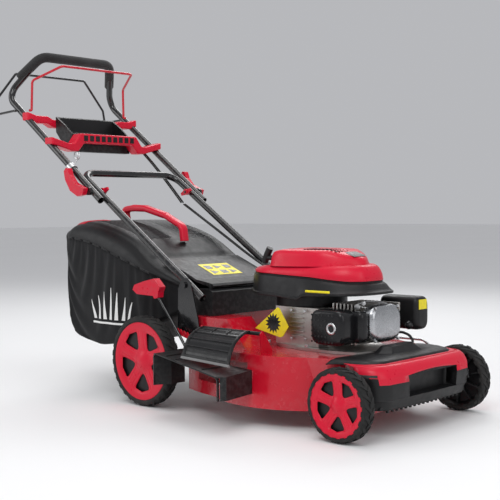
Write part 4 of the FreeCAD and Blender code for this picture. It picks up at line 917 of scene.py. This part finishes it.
def engine_top():
    plan = closed_curve(COVER_PLAN)
    low, shoulder, top = line(BOTTOM_LINE), line(SHOULDER_LINE), line(TOP_LINE)
    shape = Shape()
    rows = [level(plan, 9.0, lambda x: low(x) + 0.2, 1.0), level(plan, 5.2, lambda x: low(x) + 0.4, 1.0),
            level(plan, 4.6, lambda x: low(x) + 2.5, 1.0)]
    for share, inset in ((0.35, 7.0), (0.62, 11.0), (0.82, 16.0), (0.94, 21.0), (1.0, 27.0)):
        rows.append(level(plan, inset, lambda x, share=share: lerp(low(x) + 2.5, shoulder(x), share), 1.0))
    rows.append(level(plan, 34.0, lambda x: shoulder(x) + 0.6, 1.0))
    shape.grid(rows, close_across=True)
    inner = level(plan, 52.0, lambda x: shoulder(x) - 1.5, 1.0)
    shape.grid([rows[-1], level(plan, 43.0, lambda x: shoulder(x) + 0.2, 1.0), inner], close_across=True)
    middle = [(lerp(p[0], 420.0, 0.9), p[1] * 0.1, shoulder(420.0) - 2.0) for p in inner]
    shape.grid([inner, middle], close_across=True)
    shape.piece("cover_lower_tier", "red_plastic", "chassis", ("engine_cover",), sharp=34.0)

    plan = closed_curve(UPPER_PLAN)
    shape = Shape()
    rows = [level(plan, -2.0, lambda x: shoulder(x) - 3.0), level(plan, -1.2, lambda x: shoulder(x) + 1.0)]
    for share, inset in ((0.3, 1.5), (0.6, 3.5), (0.8, 6.0), (0.93, 9.5), (1.0, 15.0)):
        rows.append(level(plan, inset, lambda x, share=share: lerp(shoulder(x) + 1.0, top(x), share)))
    for pull in (0.15, 0.35, 0.6, 0.85, 0.98):
        crown = 1.0 + 3.0 * pull
        last = rows[6]
        rows.append([(lerp(p[0], 450.0, pull * 0.55), p[1] * (1 - pull),
                      top(lerp(p[0], 450.0, pull * 0.55)) + crown)
                     for p in last])
    shape.grid(rows, close_across=True)
    shape.piece("cover_upper_tier", "red_plastic", "chassis", sharp=34.0)

    # air inlet: rows of small holes on the cover's near flank, drawn as raised dark discs of painted shade
    # in place of the openings, and a grey panel at its front
    holes = Shape()
    for i in range(9):
        for j in range(5):
            x = 430.0 + i * 11.0
            y = table_at([(430.0, -70.0), (470.0, -66.0), (520.0, -48.0)], x)[0] + j * 11.5
            holes.disc((x, y, top(x) + 1.6), (0, 0, 1), 3.6, 1.6, 12)
    holes.piece("cover_vents", "black_plastic", "chassis", look="black_gloss", sharp=30.0)
    panel = Shape()
    rows = []
    for i in range(9):
        x = lerp(528.0, 562.0, i / 8)
        rows.append([(x, lerp(-28.0, 22.0, j / 8), top(x) + (4.6 if 0 < i < 8 and 0 < j < 8 else 1.0))
                     for j in range(9)])
    panel.grid(rows)
    panel.piece("cover_panel", "black_plastic", "chassis", look="grey_print_and_painted_highlight", sharp=40.0)


def shroud_shell():
    plan = closed_curve(COVER_PLAN)
    top = line(BOTTOM_LINE)
    arch = [(172, 322), (290, 318), (304, 318), (358, 318), (443, 311), (466, 322), (604, 326), (664, 330)]
    low = line(arch)
    shape = Shape()
    rows = [level(plan, 7.0, lambda x: low(x) + 4.0), level(plan, 2.0, lambda x: low(x) + 0.5),
            level(plan, -0.5, lambda x: low(x) + 2.0), level(plan, -0.5, lambda x: low(x) + 7.0),
            level(plan, 1.8, lambda x: low(x) + 9.5, 0.12),
            level(plan, 1.4, lambda x: lerp(low(x), top(x), 0.45), 0.42),
            level(plan, 1.6, lambda x: lerp(low(x), top(x), 0.7), 0.72),
            level(plan, 3.0, lambda x: top(x) - 5.5, 1.0), level(plan, 6.5, lambda x: top(x) - 4.5, 1.0),
            level(plan, 6.5, lambda x: top(x) - 1.5, 1.0), level(plan, 4.8, lambda x: top(x) - 0.6, 1.0),
            level(plan, 12.0, lambda x: top(x) - 0.4, 1.0)]
    shape.grid(rows, close_across=True)
    low_ring = level(plan, 7.0, lambda x: low(x) + 4.0)
    inner = [(lerp(p[0], 420.0, 0.35), p[1] * 0.62, 322.0) for p in low_ring]
    shape.grid([low_ring, inner], close_across=True)
    shape.piece("shroud_shell", "black_plastic", "chassis", ("blower_shroud",), sharp=34.0)
    neck = Shape()
    neck.disc((292, 128, 326), (0, 0, 1), 17.0, 44.0, 40, 2.0)
    neck.box((278, 306), (96, 124), (328, 344))
    neck.disc((396, 0, 290.5), (0, 0, 1), 96.0, 34.0, 48)
    bevelled(neck.piece("shroud_neck", "black_plastic", "chassis"), 1.5)
    strip = Shape()
    xs = [478.0 + i * 6.6 for i in range(13)]
    strip.grid([[(x, -126.4 + 0.022 * (x - 478) - 0.2, 334.0),
                 (x, -126.0 + 0.022 * (x - 478), 340.0)] for x in xs])
    walled(strip.piece("shroud_strip", "yellow_tag", "chassis", sharp=30.0), 0.8, 1.0)


engine_top()
shroud_shell()

# ---------------------------------------------------------------- grip and console

def grip():
    path = rounded_path([(-704.0, -189.0, 992.0), (-642.0, -143.0, 1061.0), (-642.0, 143.0, 1061.0),
                         (-704.0, 189.0, 992.0)], 46.0, 12)
    dense = []
    for a, b in zip(path, path[1:]):
        steps = max(1, int((b - a).length / 6))
        dense += [a.lerp(b, k / steps) for k in range(steps)]
    dense.append(path[-1])

    def radius(share, angle, gone):
        end = min(share, 1 - share)
        soft = 0.25 * noise.noise(Vector((gone * 0.05, math.cos(angle), math.sin(angle))))
        if end < 0.004:
            return 12.6
        if end < 0.012:
            return 15.2
        return 16.0 + soft

    shape = Shape()
    tube(shape, dense, radius, 28)
    shape.piece("foam_sleeve", "foam", "handle_top", ("grip_foam",), sharp=50.0)


def console_bar(name, outline, back, front, nodes=()):
    """A moulded bar across the handle: this outline, in y and z, from back to front."""
    shape = Shape()
    shape.loft([[(x, y, z) for y, z in outline] for x in (back, front)])
    bevelled(shape.piece(name, "red_plastic", "handle_top", nodes, sharp=25.0), 4.0, 3)


def console():
    side = 227.5
    upper = [(-side, 846), (-side + 30, 838), (-150, 838), (-128, 826), (128, 826), (150, 838),
             (side - 30, 838),
             (side, 846), (side, 872), (side - 34, 862), (150, 862), (128, 852), (-128, 852), (-150, 862),
             (-side + 34, 862), (-side, 872)]
    lower = [(-side, 762), (-150, 742), (-124, 742), (-100, 770), (100, 770), (124, 742), (150, 742),
             (side, 762),
             (side, 784), (160, 766), (140, 768), (116, 800), (-116, 800), (-140, 768), (-160, 766),
             (-side, 784)]
    console_bar("console_upper", upper, -634, -600, ("console_frame",))
    console_bar("console_lower", lower, -512, -470)
    ribs = Shape()
    for k in range(9):
        y = -96.0 + k * 24.0
        ribs.box((-470.5, -468.5), (y - 8, y + 8), (776, 794))
    bevelled(ribs.piece("console_ribs", "black_plastic", "handle_top"), 0.8)


grip()
console()

# ---------------------------------------------------------------- front bumper

BUMPER_LINE = [(-212, 703), (-207, 738), (-196, 756), (-176, 768), (-120, 772), (0, 775), (120, 772),
               (176, 768),
               (196, 756), (207, 738), (212, 703)]
BUMPER_LEAN = [(70, -6.0, 0.93), (84, -3.0, 0.95), (92, 0.0, 0.955), (95, 3.0, 0.965), (131, 4.0, 0.99),
               (150, 1.0, 1.0),
               (166, -7.0, 0.985), (176, -16.0, 0.96)]
RECESS_Y = (-98.0, 120.0)
RECESS_Z = (95.0, 147.0)


def bumper_spot(y, z, out=0.0):
    back, share = table_at(BUMPER_LEAN, z)
    return (table_at(BUMPER_LINE, y)[0] + back + out, y * share, z)


def bumper():
    ys = [-212, -210, -207, -202, -196, -188, -176, -160, -140, -118, -98, -80, -60, -40, -20, 0, 20, 40,
          60, 80, 100,
          120, 140, 160, 176, 188, 196, 202, 207, 210, 212]
    zs = [70, 78, 84, 90, 92, 95, 105, 118, 131, 139, 147, 156]
    body = Shape()
    rows = [[bumper_spot(y, z) for y in ys] for z in zs]

    def in_recess(i, j):
        return RECESS_Z[0] <= zs[i] < RECESS_Z[1] and RECESS_Y[0] <= ys[j] < RECESS_Y[1]

    body.grid(rows, skip=in_recess)
    depth = 745.0
    rim = [y for y in ys if RECESS_Y[0] <= y <= RECESS_Y[1]]
    for z in RECESS_Z:
        body.grid([[bumper_spot(y, z) for y in rim], [(depth, bumper_spot(y, z)[1], z) for y in rim]])
    for y in RECESS_Y:
        zz = [z for z in zs if RECESS_Z[0] <= z <= RECESS_Z[1]]
        body.grid([[bumper_spot(y, z) for z in zz], [(depth, bumper_spot(y, z)[1], z) for z in zz]])
    body.grid([[(depth, bumper_spot(y, z)[1], z) for y in rim] for z in RECESS_Z])
    walled(body.piece("bumper_shell", "black_plastic", "chassis", ("bumper",), sharp=30.0), 3.0, 0.0)

    comb = Shape()
    for k in range(17):
        y = -152.0 + k * 19.0
        comb.box((750, 756), (y - 3.2, y + 3.2), (61, 74))
    comb.box((712, 757), (-186, 186), (72, 79))
    bevelled(comb.piece("bumper_comb", "black_plastic", "chassis"), 1.2)

    red = Shape()
    zs = [131, 133, 139, 147, 149, 156, 163, 168, 171]
    rows = [[bumper_spot(y, z, 2.0 if 131 < z < 170 else 0.5) for y in ys] for z in zs]
    arch = {}
    for j, y in enumerate(ys):
        if RECESS_Y[0] <= y <= RECESS_Y[1]:
            t = (y - RECESS_Y[0]) / (RECESS_Y[1] - RECESS_Y[0])
            arch[j] = 147.0 + 6.0 * math.sin(math.pi * t)
    for j, height in arch.items():
        for i, z in enumerate(zs):
            if 147 <= z < height + 2:
                rows[i][j] = bumper_spot(ys[j], max(height, z), 2.0)
    red.grid(rows, skip=lambda i, j: zs[i] < RECESS_Z[1] and RECESS_Y[0] <= ys[j] < RECESS_Y[1])
    top_rows = [rows[-1]]
    for inward, z in ((3, 173.5), (8, 175.0), (11, 175.2), (12.5, 172.6), (17.5, 172.6), (19, 175.2),
                      (27, 176.5),
                      (34, 176.5)):
        line = []
        for y in ys:
            x0, y0, _ = bumper_spot(y, 171, 0.5)
            line.append((x0 - inward, y0 * (1 - inward * 0.0012), z))
        top_rows.append(line)
    red.grid(top_rows)
    walled(red.piece("bumper_trim", "red_plastic", "chassis", sharp=26.0), 2.5)

    plate = Shape()
    rows = []
    for x, z, half in ((736, 176, 168), (728, 181, 176), (712, 185, 184), (690, 186.5, 190),
                       (664, 186.5, 196),
                       (640, 186, 200), (618, 184.5, 206), (610, 183.0, 208)):
        row = []
        for k in range(25):
            t = k / 12 - 1
            y = half * t
            drop = 12.0 * max(0.0, (abs(t) - 0.8) / 0.2) ** 2
            row.append((x - 34.0 * (1 - t * t) * (1 if x < 700 else 0.15) * -0.4, y, z - drop))
        rows.append(row)
    plate.grid(rows)
    walled(plate.piece("bumper_apron", "black_plastic", "chassis", sharp=35.0), 2.5)
    wedge = Shape()
    low = [(646, -64), (668, -74), (700, -52), (704, 74), (672, 102), (646, 92)]
    high = [(654, -40), (668, -46), (684, -34), (686, 54), (670, 72), (654, 66)]
    wedge.loft([[(x, y, 184.0) for x, y in low], [(x, y, 203.0) for x, y in high]])
    bevelled(wedge.piece("bumper_wedge", "black_plastic", "chassis", sharp=20.0), 2.5)


# ---------------------------------------------------------------- discharge door and chute

DOOR_CURVE = [(-232.0, 236.0), (-250.0, 237.0), (-268.0, 234.5), (-286.0, 229.0), (-304.0, 220.5),
              (-318.0, 210.0),
              (-330.0, 196.0), (-339.0, 183.0), (-345.0, 170.0)]


def door_spot(u, v, lift=0.0):
    """u runs along the mower from 0 to 1, v down the door's curve from 0 to 1."""
    steps = len(DOOR_CURVE) - 1
    k = min(int(v * steps), steps - 1)
    t = v * steps - k
    (y0, z0), (y1, z1) = DOOR_CURVE[k], DOOR_CURVE[k + 1]
    y, z = lerp(y0, y1, t), lerp(z0, z1, t)
    ny, nz = -(z1 - z0), (y1 - y0)
    size = math.hypot(ny, nz)
    if nz < 0:
        ny, nz = -ny, -nz
    if abs(nz) < 1e-6 and ny > 0:
        ny = -ny
    x = lerp(lerp(214.0, 244.0, v), lerp(384.0, 416.0, v), u)
    fall = 7.0 * u * v
    return (x, y + ny / size * lift, z + nz / size * lift - fall)


def door():
    skin = Shape()
    skin.grid([[door_spot(u / 20, v / 32, -2.5) for u in range(21)] for v in range(33)])
    walled(skin.piece("door_skin", "black_plastic", "door", ("discharge_door",), "black_gloss", 50.0),
           2.0, 0.0)
    ribs = Shape()

    def rail(points_uv, wide, tall):
        rows = []
        for (u, v), (du, dv) in points_uv:
            a = door_spot(u - du * wide, v - dv * wide, -2.0)
            b = door_spot(u - du * wide * 0.55, v - dv * wide * 0.55, tall)
            c = door_spot(u + du * wide * 0.55, v + dv * wide * 0.55, tall)
            d = door_spot(u + du * wide, v + dv * wide, -2.0)
            rows.append([a, b, c, d])
        ribs.loft(rows)

    for v, wide, tall in ((0.06, 0.05, 2.0), (0.36, 0.02, 1.2), (0.54, 0.02, 1.2), (0.72, 0.02, 1.2),
                          (0.955, 0.045, 2.4)):
        rail([((u / 20, v), (0, 1)) for u in range(21)], wide, tall)
    for u, wide, low, high, tall in ((0.03, 0.03, 0.02, 0.98, 2.2), (0.97, 0.03, 0.02, 0.98, 2.2),
                                     (0.36, 0.012, 0.06, 0.36, 1.2), (0.68, 0.012, 0.06, 0.36, 1.2)):
        rail([((u, lerp(low, high, v / 16)), (1, 0)) for v in range(17)], wide, tall)
    ribs.piece("door_frame", "black_plastic", "door", sharp=25.0)
    louvres = Shape()
    for v0 in (0.12, 0.24, 0.40, 0.58, 0.77):
        rows = []
        for u in range(5, 97, 7):
            rows.append([door_spot(u / 100, v0, -2.4), door_spot(u / 100, v0 + 0.015, -0.2),
                         door_spot(u / 100, v0 + 0.09, -2.4)])
        louvres.grid(rows)
    louvres.piece("door_louvres", "black_plastic", "door", sharp=25.0)
    lip = Shape()
    rows = []
    for u in range(21):
        x, y, z = door_spot(u / 20, 1.0, 0.0)
        rows.append([(x, y, z + 3), (x, y - 4.0, z + 1), (x, y - 5.0, z - 3), (x, y + 2.0, z - 4)])
    lip.loft(rows)
    # the lip is coloured grey as a painted highlight: the bright reflection along the door's lower edge, on
    # a part that is black plastic
    lip.piece("door_lip", "black_plastic", "door", look="grey_print_and_painted_highlight", sharp=25.0)
    barrel = Shape()
    barrel.disc((206, -232, 232), (1, 0, 0), 5.0, 214.0, 24, 0.8)
    barrel.piece("door_barrel", "black_plastic", "door")


def chute_rim():
    """Raised flange round the mouth of the side chute and three ribs over its top."""
    rim = Shape()
    mouth = [(134, -346, 84), (134, -346, 164), (146, -348.5, 170), (430, -401, 140), (430, -401, 84)]
    path = rounded_path(mouth, 12.0, 6)
    rows = []
    for p in path:
        inward = Vector((282, -372, 118)) - p
        inward.normalize()
        out = Vector((0.18, -0.98, 0))
        rows.append([tuple(p - inward * 1.0 + out * 1.2), tuple(p - inward * 1.0 - out * 7.0),
                     tuple(p + inward * 3.0 - out * 7.0), tuple(p + inward * 3.0 + out * 1.2)])
    rim.loft(rows)
    rim.piece("chute_rim", "black_plastic", "chute", look="black_gloss", sharp=25.0)
    ribs = Shape()
    for x in (190.0, 232.0, 352.0):
        rows = []
        for t in (0.0, 0.3, 0.7, 1.0):
            y = lerp(-285.0, -340.0 - (x - 134) * 0.17, t)
            z = table_at([(134, 168), (150, 170.3), (452, 141.2)], x)[0]
            rows.append([(x - 2, y, z - 1), (x - 1, y, z + 2.2), (x + 1, y, z + 2.2), (x + 2, y, z - 1)])
        ribs.loft(rows)
    ribs.piece("chute_ribs", "black_plastic", "chute", sharp=25.0)


bumper()
door()
chute_rim()

# ---------------------------------------------------------------- engine details

def engine_details():
    dimples = Shape()
    for i in range(7):
        for j in range(6):
            x, z = 519.0 + i * 11.0, 214.0 + j * 13.5
            if math.hypot(x - 581, z - 249) > 21:
                dimples.disc((x, -149.6, z), (0, -1, 0), 2.6, 1.1, 10)
    dimples.piece("guard_dimples", "black_gloss", "chassis", sharp=30.0)
    ring = Shape()
    rows = []
    for k in range(48):
        a = 2 * math.pi * k / 48
        rows.append([(581 + r * math.cos(a), y, 249 + r * math.sin(a))
                     for r, y in ((8.5, -149.5), (9.5, -152.0), (12.0, -153.0), (14.5, -152.0),
                                  (15.5, -149.5))])
    ring.grid(rows, close_along=True)
    ring.piece("guard_outlet", "black_gloss", "chassis", look="pressed_steel", sharp=50.0)
    fins = Shape()
    for k in range(6):
        fins.box((404, 448), (-101.5, -98.5), (214 + k * 12, 216.5 + k * 12))
    bevelled(fins.piece("crankcase_fins", "cast_alloy", "chassis"), 0.6)
    screws = Shape()
    for x, z in ((409, 208), (456, 208), (409, 282), (456, 282)):
        screws.disc((x, -101, z), (0, -1, 0), 4.5, 4.0, 6)
    for y in (-54, 54):
        for z in (212, 296):
            screws.disc((640, y * 0.9, z), (1, 0, 0), 4.0, 6.2, 6)
    for x, y in ((330, -104), (470, -112), (330, 104), (470, 112)):
        screws.disc((x, y, 190), (0, 0, 1), 6.0, 6.0, 6)
    bevelled(screws.piece("engine_screws", "pressed_steel", "chassis"), 0.5)
    label = Shape()
    label.box((659.0, 659.8), (122, 158), (281, 307))
    label.piece("air_box_label", "yellow_tag", "chassis")
    levers = Shape()
    tube(levers, rounded_path([(600, -66, 306), (606, -40, 312), (612, 0, 308), (606, 52, 300)], 10, 4),
         1.6, 10)
    tube(levers, rounded_path([(596, -58, 300), (612, -50, 296), (618, -20, 300), (604, 40, 306)], 10, 4),
         1.4, 10)
    levers.disc((598, -62, 298), (0.3, -1, 0), 8.0, 5.0, 20, 1.0)
    levers.disc((604, -44, 306), (0.5, -1, 0.2), 6.0, 6.0, 20, 1.0)
    levers.piece("governor_links", "pressed_steel", "chassis", sharp=40.0)


def tag_symbol():
    """A plain sun: a dark disc with points, on the hanging card."""
    sun = Shape()
    centre = (362.0, 246.0)
    count = 14
    ring = []
    for k in range(count * 2):
        a = math.pi * k / count
        r = 28.0 if k % 2 else 18.0
        ring.append((centre[0] + r * math.cos(a), centre[1] + r * math.sin(a)))
    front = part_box("warning_tag")[0][1] / MM - SHIFT_Y - 0.5
    sun.loft([[(x, front, z) for x, z in ring], [(x, front + 0.45, z) for x, z in ring]])
    sun.piece("tag_sun", "yellow_tag", "chassis", look="black_gloss", sharp=30.0)


engine_details()
tag_symbol()

# ---------------------------------------------------------------- carried-over CAD pieces

for node, width in (("console_tray", 2.0), ("side_chute", 2.0), ("rear_flap", 1.2), ("rear_housing", 2.0),
                    ("cam_lever_right", 2.5),
                    ("cam_lever_left", 2.5), ("height_knob", 3.0), ("starter_grip", 2.5),
                    ("bracket_right", 0.8),
                    ("bracket_left", 0.8), ("deck", 1.0), ("engine_block", 1.5), ("gearbox", 2.0),
                    ("height_lever", 0.8), ("wing_nut_right", 1.0), ("wing_nut_left", 1.0),
                    ("carburettor", 1.5),
                    ("fuel_cap", 1.0), ("ratchet_plate", 0.5), ("cylinder_head", 0.6), ("blade", 0.6)):
    bevelled(NODES[node], width, 2, 35.0)

# ---------------------------------------------------------------- rounded housings

def soft_box(name, low, high, axis, edge, slot, nodes=(), power=4.5):
    """A moulded box with rounded sides, drawn as rings along one axis and eased in at both ends."""
    others = [k for k in range(3) if k != axis]
    centre = [(a + b) / 2 for a, b in zip(low, high)]
    half = [(b - a) / 2 for a, b in zip(low, high)]
    cuts = []
    for k in range(7):
        turn = math.pi / 2 * k / 6
        cuts.append((edge * (1 - math.sin(turn)), edge * (1 - math.cos(turn))))
    ends = [(low[axis] + along, pull) for pull, along in cuts]
    ends += [(high[axis] - along, pull) for pull, along in reversed(cuts)]
    rows = []
    for place, pull in ends:
        row = []
        for k in range(56):
            a = 2 * math.pi * k / 56
            point = [0.0, 0.0, 0.0]
            point[axis] = place
            for which, share in zip(others, (math.cos(a), math.sin(a))):
                reach = math.copysign(abs(share) ** (2 / power), share)
                point[which] = centre[which] + (half[which] - pull) * reach
            row.append(tuple(point))
        rows.append(row)
    shape = Shape()
    shape.loft(rows)
    shape.piece(name, slot, "chassis", nodes, sharp=40.0)


soft_box("guard_shell", (511, -150, 205), (617, -88, 295), 1, 12, "black_gloss", ("muffler",))
soft_box("muffler_body", (524, -100, 210), (638, -63, 290), 0, 14, "black_gloss")
soft_box("rocker_cover", (604, -65, 206), (647, 65, 303), 0, 15, "bright_cover", ("valve_cover",),
         power=3.6)
soft_box("filter_box", (534, 113, 226), (659, 173, 315), 0, 14, "black_plastic", ("air_box",), power=4.0)

# ---------------------------------------------------------------- cables and starter rope

CAM_X, CAM_Z = -287.0, 610.0
UPPER_SLOPE, LOWER_SLOPE = 0.7227, 0.6727
CABLE_WIDE = 5.2


def upper_line(x, across, rise):
    return (x, across, CAM_Z + (CAM_X - x) * UPPER_SLOPE + rise)


def lower_line(x, across, rise):
    return (x, across, CAM_Z + (CAM_X - x) * LOWER_SLOPE + rise)


def spline_points(route):
    curve = bpy.data.curves.new("route", "CURVE")
    curve.dimensions = "3D"
    spline = curve.splines.new("NURBS")
    spline.points.add(len(route) - 1)
    for point, spot in zip(spline.points, route):
        point.co = (*at(*spot), 1.0)
    spline.order_u = 3
    spline.use_endpoint_u = True
    spline.resolution_u = 12
    holder = bpy.data.objects.new("route", curve)
    mesh = bpy.data.meshes.new_from_object(holder)
    out = [v.co.copy() for v in mesh.vertices]
    bpy.data.objects.remove(holder)
    bpy.data.meshes.remove(mesh)
    return out


def cable(name, route, node):
    path = spline_points(route)
    shape = Shape()
    tube(shape, [((p.x / MM) - SHIFT_X, (p.y / MM) - SHIFT_Y, p.z / MM) for p in path], CABLE_WIDE / 2, 12)
    piece = shape.piece(name, "cable_skin", None, (node,) if node else (), sharp=60.0)
    length = sum((b - a).length for a, b in zip(path, path[1:]))
    tuple(path[0])
    [tuple(p) for p in path]
    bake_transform(piece)


def cables():
    upper_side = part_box("cables_upper")[1][1] / MM - SHIFT_Y - CABLE_WIDE / 2
    lower_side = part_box("cables_lower")[1][1] / MM - SHIFT_Y - CABLE_WIDE / 2
    for k in range(2):
        y = upper_side - 9.0 * k
        cable("cable_upper_%d" % k,
              [(-640.0, y, 828.0), upper_line(-590.0, y, -27.0), upper_line(-440.0, y - 6, -27.0),
               upper_line(-300.0, y - 24, -44.0)],
              "" if k else "cables_upper")
        y = lower_side - 6.5 * k
        cable("cable_lower_%d" % k,
              [lower_line(-292.0, y, -44.0), lower_line(-140.0, y, -24.0), lower_line(60.0, y, -2.0),
               lower_line(176.0, y, 44.0), (230.0, y - 22, 356.0 - k * 7),
               (264.0, 107.0 + k * 7, 350.0 - k * 7)],
              "" if k else "cables_lower")
    rope = Shape()
    tube(rope, [(356.0 - 2.5 * k, -60.0, 416.0) for k in range(17)], 2.0, 12)
    piece = rope.piece("starter_rope_run", "cable_skin", None, ("starter_rope",), sharp=60.0)
    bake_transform(piece)


cables()

# ---------------------------------------------------------------- printed pictograms

def laid_on(target, start, direction, lift):
    """The point where a ray from start, in millimetres, meets the target, lifted back off it."""
    hit, where, _, _ = target.ray_cast(at(*start), Vector(direction))
    if not hit:
        return None
    spot = where / MM - Vector((SHIFT_X, SHIFT_Y, 0.0)) - Vector(direction) * lift
    return tuple(spot)


def print_patch(shape, target, corners, direction, lift, across=3, along=8):
    """A thin patch, from four flat corners, that follows the surface behind it."""
    a, b, c, d = [Vector(p) for p in corners]
    rows = []
    for i in range(along + 1):
        t = i / along
        row = [laid_on(target, a.lerp(d, t).lerp(b.lerp(c, t), j / across), direction, lift)
               for j in range(across + 1)]
        if None in row:
            return
        rows.append(row)
    shape.grid(rows)


def bag_print(cloth):
    """Seven plain blades of grass in white on the near side of the bag."""
    shape = Shape()
    for k in range(7):
        x = -300.0 + k * 26.0
        lean, tall = (k - 3) * 5.0, 96.0 - abs(k - 3) * 13.0
        print_patch(shape, cloth, [(x - 7, -260, 222), (x + 7, -260, 222), (x + lean + 1, -260, 222 + tall),
                                   (x + lean - 1, -260, 222 + tall)], (0, 1, 0), 1.4)
    print_patch(shape, cloth, [(-312, -260, 208), (-132, -260, 208), (-132, -260, 214), (-312, -260, 214)],
                (0, 1, 0), 1.4, 24, 1)
    shape.piece("bag_print", "mesh_fabric", "bag", look="white_print", sharp=60.0)


def flap_print():
    """A yellow card on the flap with plain marks and no lettering."""
    flap = NODES["rear_flap"]
    card, marks = Shape(), Shape()
    print_patch(card, flap, [(14, -66, 520), (82, -66, 520), (82, 54, 520), (14, 54, 520)], (0, 0, -1), 0.8,
                6, 8)
    for i in range(2):
        for j in range(3):
            x, y = 24.0 + i * 30.0, -56.0 + j * 38.0
            tip = (x + 10, x + 12) if (i + j) % 2 else (x + 2, x + 20)
            print_patch(marks, flap, [(x, y, 520), (x + 22, y, 520), (tip[1], y + 26, 520),
                                      (tip[0], y + 26, 520)],
                        (0, 0, -1), 1.3, 2, 3)
    card.piece("flap_card", "yellow_tag", "flap", sharp=60.0)
    marks.piece("flap_marks", "yellow_tag", "flap", look="black_gloss", sharp=60.0)


bag_print(bag_cloth)
flap_print()
